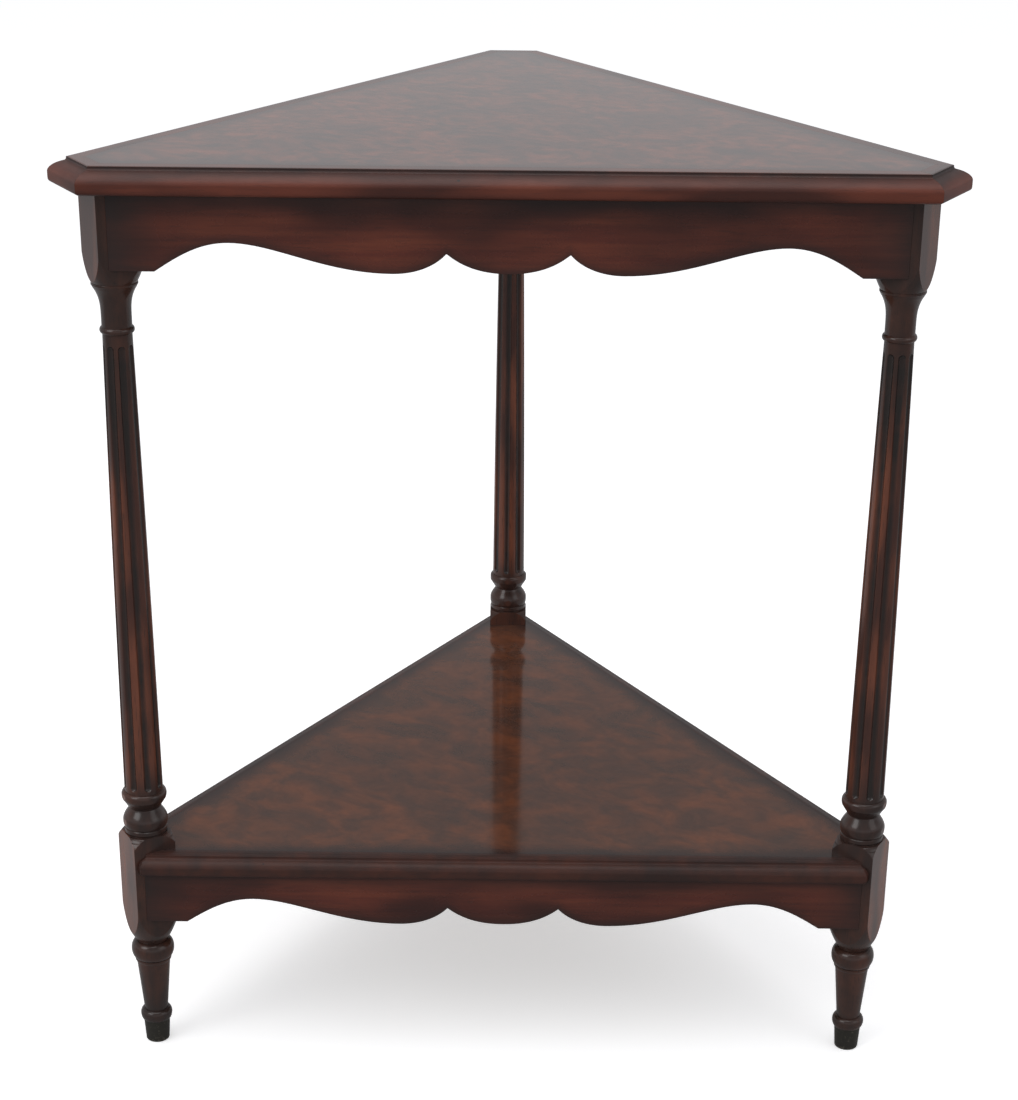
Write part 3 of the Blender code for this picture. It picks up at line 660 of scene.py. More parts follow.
@dataclass(frozen=True)
class BurlVeneer:
    """One sheet of burl veneer under a rubbed gloss lacquer, shaded dark towards the edges of its board.

    The eye sees soft orange-brown clouds and flecks that drift across a greyer brown ground, and a clear
    reflection of the room that grows towards the far side.
    """

    name: str
    side_reach: float
    clip_reach: float
    centre: float
    ground: str = "#56382B"
    dusk: str = "#4A342B"
    fleck: str = "#72422B"
    fleck_size: float = 17 * MM
    fleck_levels: tuple[float, float] = (0.27, 0.78)
    cluster_levels: tuple[float, float] = (0.4, 0.6)
    thinnest: float = 0.45
    cloud_size: float = 38 * MM
    cloud_levels: tuple[float, float] = (0.32, 0.68)
    swirl_size: float = 70 * MM
    swirl_reach: float = 50 * MM
    burr_size: float = 5 * MM
    burr_levels: tuple[float, float] = (0.3, 0.7)
    burr_tones: tuple[float, float] = (0.9, 1.1)
    border: str = "#2F2321"
    border_width: float = 14 * MM
    ragged: float = 10 * MM
    fade: float = 22 * MM
    drift: float = math.radians(33)
    roughness: float = 0.09

    def build(self) -> bpy.types.Material:
        """Makes the material.

        Returns:
            The material.
        """
        shader = Shader(bpy.data.materials.new(self.name))
        place = shader.add("ShaderNodeTexCoord").outputs["Object"]
        centred = shader.mapping(place, location=(0, -self.centre, 0))
        # The figure drifts across the sheet, a little longer than it is wide, and bends in a slow swirl
        figure = shader.mapping(shader.mapping(centred, rotation=(0, 0, self.drift)), scale=(0.8, 1, 1))
        swirl = shader.noise(figure, self.swirl_size, 2, output=1)
        reach = (self.swirl_reach, self.swirl_reach, 0)
        swirled = shader.vector("MULTIPLY_ADD", {0: swirl, 1: reach, 2: figure})
        clouds = shader.noise(swirled, self.cloud_size, 3, 0.45)
        cloud = shader.spread(clouds, *self.cloud_levels, smooth=True)
        ground = shader.blend(cloud, self.dusk, self.ground)
        # Soft flecks in clusters, with a fine burr within them
        specks = shader.noise(swirled, self.fleck_size, 3, 0.5, 0.15)
        speck = shader.spread(specks, *self.fleck_levels, smooth=True)
        clustered = shader.spread(clouds, *self.cluster_levels, self.thinnest, 1.0)
        strength = shader.math("MULTIPLY", speck, clustered)
        burr = shader.noise(swirled, self.burr_size, 3, 0.55)
        mottled = shader.blend(strength, ground, self.fleck)
        fine = shader.spread(burr, *self.burr_levels, *self.burr_tones)
        shaded = shader.vector("SCALE", {0: mottled, 3: fine})
        # The dark shading follows the three long edges and the three clipped corners
        depths = []
        for angle, edge_reach in self.edges():
            along = shader.vector("DOT_PRODUCT", {0: centred, 1: (math.cos(angle), math.sin(angle), 0)}, 1)
            depths.append(shader.math("SUBTRACT", edge_reach, along))
        inward = depths[0]
        for depth in depths[1:]:
            inward = shader.math("MINIMUM", inward, depth)
        uneven = shader.math("MULTIPLY_ADD", clouds, self.ragged, inward)
        inner = self.border_width + self.fade
        edge = shader.spread(uneven, self.border_width, inner, 0.95, 0.0, smooth=True)
        colour = shader.blend(edge, shaded, self.border)
        # Rubbed lacquer: its gloss drifts a little, and it sinks by a few microns over the burr
        rubbing = shader.noise(place, self.swirl_size, 3)
        gloss = shader.spread(rubbing, start=self.roughness * 0.7, end=self.roughness * 1.4)
        return shader.coat(colour, gloss, IOR=1.5, Normal=shader.bump(burr, 0.15, 0.01 * MM))

    def edges(self) -> list[tuple[float, float]]:
        """The board's edges, as pairs of outward direction and reach from the centre.

        Returns:
            The pairs.
        """
        long_edges = [(math.radians(270) + side * THIRD, self.side_reach) for side in (0, 1, -1)]
        clips = [(math.radians(90) + corner * THIRD, self.clip_reach) for corner in (0, 1, -1)]
        return long_edges + clips


@dataclass(frozen=True)
class BlackenedBrass:
    """Turned brass, chemically blackened and long handled.

    The eye sees a dull brown-black cup with a soft sheen, and bare dark metal where rim and foot are rubbed.
    """

    name: str
    dark: str = "#413F3A"
    bare: str = "#6E695E"
    foot: float = 4 * MM
    foot_wear: float = 0.22
    scuff_size: float = 2.2 * MM
    wear_levels: tuple[float, float] = (0.56, 0.72)
    wear: float = 0.8
    roughness: tuple[float, float] = (0.34, 0.56)

    def build(self) -> bpy.types.Material:
        """Makes the material.

        Returns:
            The material.
        """
        shader = Shader(bpy.data.materials.new(self.name))
        place = shader.add("ShaderNodeTexCoord").outputs["Object"]
        height = shader.add("ShaderNodeSeparateXYZ", {"Vector": place}).outputs[2]
        scuffs = shader.noise(place, self.scuff_size, 5, 0.65)
        # Wear gathers in the lowest millimetres, where the foot meets the floor
        low = shader.spread(height, 0.0, self.foot, self.foot_wear, 0.0)
        wear = shader.spread(shader.math("ADD", scuffs, low), *self.wear_levels, 0.0, self.wear)
        colour = shader.blend(wear, self.dark, self.bare)
        rough = shader.spread(scuffs, 0, 1, *self.roughness)
        return shader.coat(colour, rough, Metallic=0.75, Normal=shader.bump(scuffs, 0.3, 0.08 * MM))


@dataclass(frozen=True)
class SawnWood:
    """Plain secondary wood, left from the saw or the press and washed with a thin brown stain.

    The eye sees a dry, matt, pale brown face with fine lengthwise fibre and faint saw marks across it.
    """

    name: str
    light: str
    dark: str
    saw_marks: float = 3 * MM
    fibre_size: float = 2.5 * MM
    broad_size: float = 28 * MM
    tone_levels: tuple[float, float] = (0.15, 0.36)
    roughness: float = 0.72

    def build(self) -> bpy.types.Material:
        """Makes the material.

        Returns:
            The material.
        """
        shader = Shader(bpy.data.materials.new(self.name))
        place = shader.add("ShaderNodeTexCoord").outputs["Object"]
        lengthwise = shader.mapping(place, scale=(0.05, 1, 0.4))
        fibre = shader.noise(lengthwise, self.fibre_size, 5, 0.65)
        broad = shader.noise(lengthwise, self.broad_size, 3)
        tone = shader.spread(shader.math("MULTIPLY_ADD", fibre, broad, 0.0), *self.tone_levels)
        colour = shader.blend(tone, self.dark, self.light)
        waves = {"Vector": place, "Scale": 1 / self.saw_marks / 20, "Distortion": 1.5}
        marks = shader.add("ShaderNodeTexWave", waves).outputs[1]
        relief = shader.bump(shader.math("MULTIPLY_ADD", marks, 0.3, fibre), 0.5, 0.15 * MM)
        return shader.coat(colour, self.roughness, Normal=relief)


@dataclass(frozen=True)
class ZincSteel:
    """Zinc-plated steel screws.

    The eye sees a grey, faintly clouded metal with a medium gloss.
    """

    name: str
    plate: str = "#9A9A94"
    cloud: str = "#74756F"
    cloud_size: float = 1.5 * MM
    roughness: tuple[float, float] = (0.3, 0.48)

    def build(self) -> bpy.types.Material:
        """Makes the material.

        Returns:
            The material.
        """
        shader = Shader(bpy.data.materials.new(self.name))
        place = shader.add("ShaderNodeTexCoord").outputs["Object"]
        clouds = shader.noise(place, self.cloud_size, 3)
        colour = shader.blend(clouds, self.plate, self.cloud)
        return shader.coat(colour, shader.spread(clouds, 0, 1, *self.roughness), Metallic=1.0)


@dataclass(frozen=True)
class Finishes:
    """Every material on the table, made once."""

    turned: bpy.types.Material
    board: bpy.types.Material
    moulding: bpy.types.Material
    shelf_moulding: bpy.types.Material
    top_veneer: bpy.types.Material
    shelf_veneer: bpy.types.Material
    ferrule: bpy.types.Material
    block: bpy.types.Material
    core: bpy.types.Material
    screw: bpy.types.Material

    @classmethod
    def mixed(cls, plan: Plan) -> "Finishes":
        """Mixes the finishes for a plan.

        Args:
            plan: The shared sizes, which the veneers' dark borders follow.

        Returns:
            The finishes.
        """
        top = BurlVeneer(
            "book_matched_burl_top",
            *plan.top_reaches,
            plan.centre.y,
            ground="#48332D",
            dusk="#3A2E2C",
            fleck="#724133",
            fleck_size=11 * MM,
        )
        shelf = BurlVeneer("book_matched_burl_shelf", *plan.shelf_reaches, plan.centre.y)
        turned = PolishedMahogany(
            "turned_polished_mahogany",
            *("#4C2D25", "#804A36", "#985234", "#2A2422"),
            roughness=0.17,
            waxy=0.22,
            figure=20 * MM,
            stretch=0.2,
            spread=(0.36, 0.68),
            pores=0.5,
        )
        flat = PolishedMahogany(
            "flat_polished_mahogany",
            *("#3A1E1A", "#642F24", "#864730", "#271E1C"),
            figure=46 * MM,
            stretch=0.4,
            spread=(0.3, 0.72),
            glow_share=0.5,
        )
        moulded = PolishedMahogany(
            "moulded_polished_mahogany",
            *("#46251E", "#6C372A", "#86462E", "#2C2524"),
            roughness=0.4,
            waxy=0.44,
            specular=0.29,
            knocks=0.8,
        )
        rubbed = PolishedMahogany(
            "moulded_rubbed_mahogany",
            *("#562C21", "#80412C", "#944C2C", "#2D2726"),
            roughness=0.34,
            waxy=0.4,
            specular=0.27,
            knocks=0.8,
        )
        ferrule = BlackenedBrass("blackened_turned_brass")
        block = SawnWood("sawn_poplar_block", "#A98A62", "#7C6040")
        core = SawnWood("pressed_core_board", "#8A6848", "#5F452F", saw_marks=9 * MM)
        screw = ZincSteel("zinc_plated_steel")
        recipes = (turned, flat, moulded, rubbed, top, shelf, ferrule, block, core, screw)
        return cls(*(recipe.build() for recipe in recipes))


def put_on(
    piece: Piece, material: bpy.types.Material, node: str | None
) -> Piece:
    """Dresses a piece, sets it on the table's one body and hides the model's node that it stands for.

    Args:
        piece: The finished piece.
        material: Its only material.
        node: The node of the model that it stands for, or nothing where it is that node.

    Returns:
        The piece.
    """
    piece.data.materials.clear()
    piece.data.materials.append(material)
    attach(piece, "root")
    if node is not None:
        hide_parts(node)
    LOG.info("%s: %s, %d faces", piece.name, material.name, len(piece.data.polygons))
    return piece


@dataclass
class Pattern:
    """A finished piece at its first place, and how the copies set out from it are named and dressed."""

    piece: Piece
    adjective: str
    node: str
    slot: str
    material: bpy.types.Material


@dataclass
class Assembly:
    """A group of pieces made together, with the plan, the bench and the finishes that it is made by."""

    plan: Plan
    bench: Bench
    finishes: Finishes

    def set_out(self, options: type[Enum], *patterns: Pattern, facing: float = 0.0) -> list[Piece]:
        """Sets dressed copies of patterns round the plan's centre and removes the patterns.

        Args:
            options: The corners or the sides.
            patterns: The patterns that belong to one corner or side.
            facing: A turn of the patterns themselves, before they go to their places.

        Returns:
            The copies.
        """
        pieces = []
        for number, option in enumerate(options):
            for pattern in patterns:
                node = f"{pattern.node}_{lowered(option)}"
                name = f"{pattern.adjective}_{node}"
                twin = self.bench.copy(pattern.piece, name, turn_of(option) + facing, number)
                pieces.append(put_on(twin, pattern.material, node))
        for pattern in patterns:
            bpy.data.objects.remove(pattern.piece)
        return pieces


@dataclass
class TurnedLegs(Assembly):
    """Three legs, each turned from one square blank between and below its two blocks, and fluted."""

    steps: int = 240
    bead_steps: int = 14
    flute_end_steps: int = 10
    column_steps: int = 30
    spare: float = 0.5 * MM
    crease: float = math.radians(38)
    arris: float = 0.7 * MM
    spigot_bottom: float = 3 * MM
    spigot_low: float = 8 * MM
    spigot_high: float = 9.2 * MM
    collar_bottom: float = 20.3 * MM
    collar_height: float = 9.8 * MM
    collar_seat: float = 11.2 * MM
    collar_radius: float = 13.0 * MM
    foot_low: float = 9.65 * MM
    foot_high: float = 13.65 * MM
    ankle_height: float = 19.6 * MM
    ankle_radius: float = 17.5 * MM
    ankle_neck: float = 12.7 * MM
    ankle_listel: float = 3.6 * MM
    shoulder_height: float = 41.4 * MM
    shoulder_power: float = 1.9
    block_drop: float = 46.5 * MM
    block_rise: float = 1.5 * MM
    crown_height: float = 11.4 * MM
    crown_radius: float = 19.3 * MM
    crown_power: float = 1.7
    scribed_lines: tuple[float, ...] = (8.2 * MM, 11.0 * MM)
    scribed_width: float = 0.7 * MM
    groove_height: float = 0.6 * MM
    groove_radius: float = 16.6 * MM
    fillet_height: float = 4.2 * MM
    fillet_radius: float = 17.2 * MM
    bulb_seat: float = 16.3 * MM
    bulb_low: float = 5.7 * MM
    bulb_high: float = 11.3 * MM
    bulb_radius: float = 18.0 * MM
    bulb_power: float = 1.4
    waist_radius: float = 12.7 * MM
    cone_height: float = 7.5 * MM
    cone_radius: float = 17.2 * MM
    ring_height: float = 7.4 * MM
    ring_radius: float = 18.1 * MM
    column_low: float = 15.4 * MM
    column_high: float = 11.2 * MM
    column_swell: float = 0.5 * MM
    astragal_height: float = 5.0 * MM
    astragal_radius: float = 13.1 * MM
    neck_height: float = 7.5 * MM
    neck_radius: float = 11.4 * MM
    bell_height: float = 22.6 * MM
    bell_radius: float = 16.5 * MM
    step_rise: float = 1.4 * MM
    step_height: float = 2.0 * MM
    step_radius: float = 17.5 * MM
    upper_shoulder: float = 29.0 * MM
    upper_power: float = 1.8
    upper_block: float = 41.2 * MM
    flute_count: int = 8
    flute_width: float = 6.0 * MM
    flute_depth: float = 2.0 * MM
    flute_low_margin: float = 3.0 * MM
    flute_high_margin: float = 8.5 * MM
    flute_turn: float = math.radians(127.5)
    flute_share: float = 0.6
    flute_rounding: float = 0.12 * MM
    flute_ease: float = 0.6 * MM
    flute_least: float = 0.35 * MM
    flute_run: float = 2 * MM
    hollow_reach: int = 8
    hollow_step: float = 0.5 * MM
    hollow_depth: float = 5 * MM
    flute_glaze: float = 0.75
    deepest_glaze: float = 0.92
    # Painted light and shade on the blocks' faces: lighter outside, darker beside the aprons and inside
    block_glaze: tuple[float, float, float] = (0.3, 0.8, 0.6)

    @property
    def turning_radius(self) -> float:
        """The blank's radius at the blocks, just outside their corners."""
        return self.plan.leg_square / math.sqrt(2) + self.spare

    @property
    def column_bottom(self) -> float:
        """The height at which the column leaves its ring.

        Returns:
            The height.
        """
        bulb = self.fillet_height + self.bulb_low + self.bulb_high
        rings = self.crown_height + self.groove_height + bulb + self.cone_height + self.ring_height
        return self.plan.shelf_height + self.block_rise + rings

    @property
    def column_top(self) -> float:
        """The height at which the column meets the astragal.

        Returns:
            The height.
        """
        bell = self.astragal_height + self.neck_height + self.bell_height
        rings = bell + self.step_rise + self.step_height
        return self.plan.frame_top - self.upper_block - self.upper_shoulder - rings

    def column_radius(self, height: np.ndarray | float) -> np.ndarray | float:
        """The column's radius at a height: a straight taper with a slight swell.

        Args:
            height: The height, or an array of heights.

        Returns:
            The radius, or an array of radii.
        """
        share = (height - self.column_bottom) / (self.column_top - self.column_bottom)
        taper = self.column_low + (self.column_high - self.column_low) * share
        return taper + self.column_swell * 4 * share * (1 - share)

    def bead(self, bottom: float, height: float, low: float, full: float, high: float) -> Profile:
        """A turned bead, as points of radius and height from bottom to top.

        Args:
            bottom: The height where it starts.
            height: Its height.
            low: The radius at its start.
            full: The radius at its middle.
            high: The radius at its end.

        Returns:
            The points.
        """
        points = []
        for step in range(self.bead_steps + 1):
            angle = math.pi * step / self.bead_steps
            climb = (1 - math.cos(angle)) / 2
            base = low + (high - low) * climb
            points.append((base + (full - base) * math.sin(angle), bottom + height * climb))
        return points

    def swell(self, bottom: float, height: float, low: float, high: float, power: float) -> Profile:
        """A turned shoulder that swells upwards and eases into its full radius.

        Args:
            bottom: The height where it starts.
            height: Its height.
            low: The radius at its start.
            high: The radius at its end.
            power: How early it reaches the full radius.

        Returns:
            The points.
        """
        points = []
        for step in range(self.bead_steps + 1):
            left = 1 - step / self.bead_steps
            points.append((high - (high - low) * left**power, bottom + height * (1 - left)))
        return points

    def foot(self) -> Profile:
        """The spigot, collar, tapering foot, ankle bead and the shoulder under the lower block.

        Returns:
            The profile.
        """
        block_bottom = self.plan.shelf_height - self.block_drop
        shoulder_bottom = block_bottom - self.shoulder_height
        ankle_bottom = shoulder_bottom - self.ankle_height
        points = [(0, self.spigot_bottom), (self.spigot_low, self.spigot_bottom)]
        points.append((self.spigot_high, self.collar_bottom))
        points += self.bead(
            self.collar_bottom, self.collar_height, self.collar_seat, self.collar_radius, self.foot_low
        )
        listel = self.foot_high + self.ankle_listel / 3
        points += [
            (self.foot_high, ankle_bottom),
            (listel - self.ankle_listel / 8, ankle_bottom + self.ankle_listel / 4),
            (listel, ankle_bottom + self.ankle_listel / 2),
            (listel, ankle_bottom + self.ankle_listel),
        ]
        bead_bottom = ankle_bottom + self.ankle_listel
        bead_height = self.ankle_height - self.ankle_listel
        points += self.bead(bead_bottom, bead_height, self.foot_high, self.ankle_radius, self.ankle_neck)
        return points + self.swell(
            shoulder_bottom, self.shoulder_height, self.ankle_neck, self.turning_radius, self.shoulder_power
        )[1:]

    def lower_rings(self) -> Profile:
        """The lower block's crown, groove, fillet, bulb, waist, cone and the column's ring.

        Returns:
            The profile.
        """
        crown_bottom = self.plan.shelf_height + self.block_rise
        crown_top = crown_bottom + self.crown_height
        crown = self.swell(0, self.crown_height, self.crown_radius, self.turning_radius, self.crown_power)
        points = [(radius, crown_top - height) for radius, height in reversed(crown)]
        points = self.scribed(points, [crown_bottom + height for height in self.scribed_lines])
        fillet_bottom = crown_top + self.groove_height
        fillet_top = fillet_bottom + self.fillet_height
        easing = self.fillet_height / 6
        points += [
            (self.groove_radius, crown_top),
            (self.groove_radius, fillet_bottom),
            (self.fillet_radius - easing, fillet_bottom),
            (self.fillet_radius, fillet_bottom + easing),
            (self.fillet_radius, fillet_top - easing),
            (self.fillet_radius - easing, fillet_top),
        ]
        swelling = self.bead(fillet_top, 2 * self.bulb_low, self.bulb_seat, self.bulb_radius, self.bulb_seat)
        points += swelling[: self.bead_steps // 2]
        # The bulb's upper part hollows into the waist, and a straight cone leads on to the ring
        middle = fillet_top + self.bulb_low
        for step in range(self.bead_steps + 1):
            share = step / self.bead_steps
            full = (1 - share**2) ** self.bulb_power
            radius = self.waist_radius + (self.bulb_radius - self.waist_radius) * full
            points.append((radius, middle + self.bulb_high * share))
        ring_bottom = middle + self.bulb_high + self.cone_height
        ring = self.bead(ring_bottom, self.ring_height, self.cone_radius, self.ring_radius, self.column_low)
        return points + ring

    def scribed(self, points: Profile, heights: Sequence[float]) -> Profile:
        """Scribes fine lines round a rising profile with the turning tool's point.

        Args:
            points: The profile, from bottom to top.
            heights: The heights of the lines.

        Returns:
            The profile with a fine notch at each height.
        """
        half = self.scribed_width / 2
        radii = [radius for radius, _ in points]
        levels = [height for _, height in points]
        kept = [point for point in points if all(abs(point[1] - height) > half * 1.5 for height in heights)]
        for height in heights:
            for level, sink in ((height - half, 0.0), (height, half), (height + half, 0.0)):
                kept.append((float(np.interp(level, levels, radii)) - sink, level))
        return sorted(kept, key=lambda point: point[1])

    def column(self) -> Profile:
        """The column, with close rows where the flutes begin and end.

        Returns:
            The profile.
        """
        low = self.column_bottom + self.flute_low_margin
        high = self.column_top - self.flute_high_margin
        end = self.flute_width / 2
        rows = [self.column_bottom + self.flute_low_margin * share for share in (0.5, 0.8)]
        ends = [end * (1 - cosine) for _, cosine in quarter(self.flute_end_steps)]
        rows += [low + rise for rise in ends]
        count = self.column_steps
        rows += [low + end + (high - low - 2 * end) * step / count for step in range(1, count)]
        rows += [high - rise for rise in reversed(ends)]
        rows += [high + self.flute_high_margin * share for share in (0.1, 0.5, 1.0)]
        return [(self.column_radius(height), height) for height in rows]

    def upper_rings(self) -> Profile:
        """The astragal, the neck, the bell, the step ring, the shoulder and the upper block.

        Returns:
            The profile.
        """
        points = self.bead(
            self.column_top, self.astragal_height, self.column_high, self.astragal_radius, self.neck_radius
        )[1:]
        bell_bottom = self.column_top + self.astragal_height + self.neck_height
        for step in range(self.bead_steps + 1):
            share = step / self.bead_steps
            radius = self.neck_radius + (self.bell_radius - self.neck_radius) * share**3
            points.append((radius, bell_bottom + self.bell_height * share))
        ring_bottom = bell_bottom + self.bell_height + self.step_rise
        ring_top = ring_bottom + self.step_height
        easing = self.step_height / 5
        points += [(self.step_radius - easing, ring_bottom), (self.step_radius, ring_bottom + easing)]
        points += [(self.step_radius, ring_top - easing), (self.step_radius - easing, ring_top)]
        points += self.swell(
            ring_top, self.upper_shoulder, self.step_radius - easing, self.turning_radius, self.upper_power
        )[1:]
        return points + [(self.turning_radius, self.plan.frame_top), (0, self.plan.frame_top)]

    def profile(self) -> Profile:
        """The whole leg's profile, from the spigot to the top of the upper block."""
        return self.foot() + self.lower_rings() + self.column() + self.upper_rings()

    def flute(self, leg: Piece) -> None:
        """Cuts the flutes by moving the column's own vertices, which keeps every arris true and soft.

        Args:
            leg: The turned leg, whose columns of vertices are spread evenly.
        """
        count = len(leg.data.vertices)
        points = np.empty(count * 3)
        leg.data.vertices.foreach_get("co", points)
        points = points.reshape(-1, 3)
        low = self.column_bottom + self.flute_low_margin
        high = self.column_top - self.flute_high_margin
        half = self.flute_width / 2
        inside = (points[:, 2] > self.column_bottom + MM / 10) & (points[:, 2] < self.column_top - MM / 10)
        height = points[inside, 2]
        radius = np.hypot(points[inside, 0], points[inside, 1])
        angle = np.arctan2(points[inside, 1], points[inside, 0]) - self.flute_turn
        pitch = math.tau / self.flute_count
        share = angle / pitch - np.round(angle / pitch)
        middle = angle - share * pitch
        beyond = np.maximum(np.maximum(low + half - height, height - high + half), 0)
        width = np.sqrt(np.maximum(half**2 - beyond**2, 0))
        spread = np.minimum(np.maximum(beyond - half, 0) / self.flute_run, 1)
        rest = self.flute_share / 2 * pitch * radius
        least = self.flute_least
        edge = np.where(beyond < half, np.maximum(width, least), rest * spread + least * (1 - spread))
        near = np.abs(share) * 2 / self.flute_share
        far = (np.abs(share) * 2 - self.flute_share) / (1 - self.flute_share)
        arc = np.where(near <= 1, near * edge, edge + far * (pitch / 2 * radius - edge))
        curve = (half**2 + self.flute_depth**2) / (2 * self.flute_depth)
        sunk = np.sqrt(np.maximum(curve**2 - arc**2 - beyond**2, 0)) - (curve - self.flute_depth)
        depth = (sunk + np.sqrt(sunk**2 + self.flute_rounding**2)) / 2
        depth = np.where((arc < width + self.flute_ease) & (beyond < half + self.flute_ease), depth, 0)
        turned = middle + np.sign(share) * arc / radius + self.flute_turn
        points[inside, 0] = (radius - depth) * np.cos(turned)
        points[inside, 1] = (radius - depth) * np.sin(turned)
        leg.data.vertices.foreach_set("co", points.ravel())
        leg.data.update()

    def square(self) -> Piece:
        """The squared blank with its four eased arrises, which the turned leg is cut with.

        Returns:
            The blank.
        """
        bench = self.bench
        half = self.plan.leg_square / 2
        outline = [(half * x, half * y, 0) for x, y in ((1, 1), (-1, 1), (-1, -1), (1, -1))]
        blank = bench.board("blank", outline, (0, 0, self.plan.frame_top + 5 * MM))

        def upright(edge: Edge) -> bool:
            """Whether the edge stands upright."""
            return abs(edge.verts[0].co.z - edge.verts[1].co.z) > self.plan.frame_top / 2

        bench.pick_edges(blank, upright)
        bpy.ops.mesh.bevel(offset=self.arris, segments=4, affect="EDGES")
        bench.settle(blank)
        return blank

    def glaze(self, points: np.ndarray) -> np.ndarray:
        """How deep the dark glazing lies in flutes, quirks and necks and at each height, with painted light
        and shade on the blocks' flat faces.

        Args:
            points: Points of the leg round its own axis.

        Returns:
            The depth at each point, from nothing to one.
        """
        profile = np.array(self.profile())
        order = np.argsort(profile[:, 1], kind="stable")
        heights = profile[order, 1]
        radii = np.minimum(profile[order, 0], self.plan.leg_square / 2)
        grid = np.arange(0, self.plan.frame_top, self.hollow_step)
        line = np.interp(grid, heights, radii)
        near = self.hollow_reach
        crest = np.array([line[max(i - near, 0) : i + near + 1].max() for i in range(len(grid))])
        height = points[:, 2]
        hollow = np.interp(height, grid, (crest - line) / self.hollow_depth)
        radius = np.hypot(points[:, 0], points[:, 1])
        in_column = (height > self.column_bottom) & (height < self.column_top)
        sunk = np.clip((self.column_radius(height) - radius) / self.flute_depth, 0, 1)
        flute = np.where(in_column, sunk, 0) * self.flute_glaze
        levels = np.array(self.glaze_and_shade_levels())
        laid = np.maximum(np.interp(height, levels[:, 0], levels[:, 1]), hollow)
        turned = np.clip(laid, 0, self.deepest_glaze) + flute
        # Painted light and shade: each flat face of the blocks takes one depth, lighter on the outer face
        # and darker on the faces beside the aprons and on the inner face
        half = self.plan.leg_square / 2 - TOUCH
        faces = [points[:, 1] > half, np.abs(points[:, 0]) > half, points[:, 1] < -half]
        return np.select(faces, self.block_glaze, turned)

    def glaze_and_shade_levels(self) -> list[tuple[float, float]]:
        """Heights and the depth there: dark glazing on the collar, the ankle and the rings, thinner on the
        middle of the column and on the foot's taper, and darker towards the top, partly glazing round the
        bell and partly painted shade under the top.

        Returns:
            The pairs, from the floor up.
        """
        block_bottom = self.plan.shelf_height - self.block_drop
        ankle_top = block_bottom - self.shoulder_height
        ankle_bottom = ankle_top - self.ankle_height
        collar_top = self.collar_bottom + self.collar_height
        span = self.column_top - self.column_bottom
        return [
            (0.0, 0.95),
            (collar_top, 0.9),
            (collar_top + 12 * MM, 0.22),
            (ankle_bottom - 8 * MM, 0.15),
            (ankle_bottom, 0.7),
            (ankle_top, 0.85),
            (self.column_bottom, 0.82),
            (self.column_bottom + span * 0.06, 0.22),
            (self.column_bottom + span * 0.7, 0.18),
            # Darker towards the top: glazing round the bell, and painted shade under the top
            (self.column_top - span * 0.06, 0.8),
            (self.plan.frame_top, 0.85),
        ]

    def build(self) -> list[Piece]:
        """Makes the three legs.

        Returns:
            The legs.
        """
        bench = self.bench
        leg = bench.lathe("leg_pattern", self.profile(), self.steps)
        bench.settle(leg)
        self.flute(leg)
        bench.combine(leg, self.square(), "INTERSECT")
        self.mark_blocks(leg)
        bench.smooth(leg, self.crease)
        bench.record(leg, (0, 0, 1), self.glaze)
        leg.data.transform(Matrix.Translation((0, self.plan.leg_reach, 0)))
        return self.set_out(Corner, Pattern(leg, "polished", "leg", "mahogany", self.finishes.turned))

    def mark_blocks(self, leg: Piece) -> None:
        """Marks the line sharp where the flat faces of the blocks meet the turned shoulders.

        Args:
            leg: The turned and squared leg.
        """
        bench = self.bench
        half = self.plan.leg_square / 2
        bench.edit(leg)

        def flat(face: bmesh.types.BMFace) -> bool:
            """Whether the face lies in one of the blank's four sides."""
            middle, normal = face.calc_center_median(), face.normal
            return any(abs(abs(middle[i]) - half) < TOUCH and abs(normal[i]) > 0.999 for i in (0, 1))

        def boundary(edge: Edge) -> bool:
            """Whether the edge parts a flat side from a turned shoulder.

            Args:
                edge: The edge.

            Returns:
                Whether it does.
            """
            faces = [flat(face) for face in edge.link_faces]
            upright = abs((edge.verts[0].co - edge.verts[1].co).normalized().z) > 0.9999
            return len(faces) == 2 and faces[0] != faces[1] and not upright

        bench.pick_edges(leg, boundary)
        bpy.ops.mesh.mark_sharp()


@dataclass
class Ferrules(Assembly):
    """Three tapered metal cups round the legs' spigots."""

    height: float = 20.0 * MM
    low_radius: float = 9.65 * MM
    high_radius: float = 10.85 * MM
    wall: float = 1.2 * MM
    floor: float = 1.5 * MM
    rounding: float = 1.4 * MM
    steps: int = 96
    crease: float = math.radians(40)

    def profile(self) -> Profile:
        """The cup's profile, with a worn round at the foot and a soft rim.

        Returns:
            The profile.
        """
        points = [(0.0, 0.0)]
        for sine, cosine in quarter(8):
            points.append((self.low_radius - self.rounding * (1 - sine), self.rounding * (1 - cosine)))
        rim = self.wall / 3
        points += [
            (self.high_radius, self.height - rim),
            (self.high_radius - rim * 0.3, self.height - rim * 0.3),
            (self.high_radius - rim, self.height),
            (self.high_radius - self.wall, self.height),
            (self.low_radius - self.wall, self.floor),
            (0.0, self.floor),
        ]
        return points

    def build(self) -> list[Piece]:
        """Makes the three ferrules.

        Returns:
            The ferrules.
        """
        bench = self.bench
        cup = bench.lathe("ferrule_pattern", self.profile(), self.steps)
        bench.smooth(cup, self.crease)
        cup.data.transform(Matrix.Translation((0, self.plan.leg_reach, 0)))
        pattern = Pattern(cup, "blackened", "ferrule", "ferrule_metal", self.finishes.ferrule)
        return self.set_out(Corner, pattern)


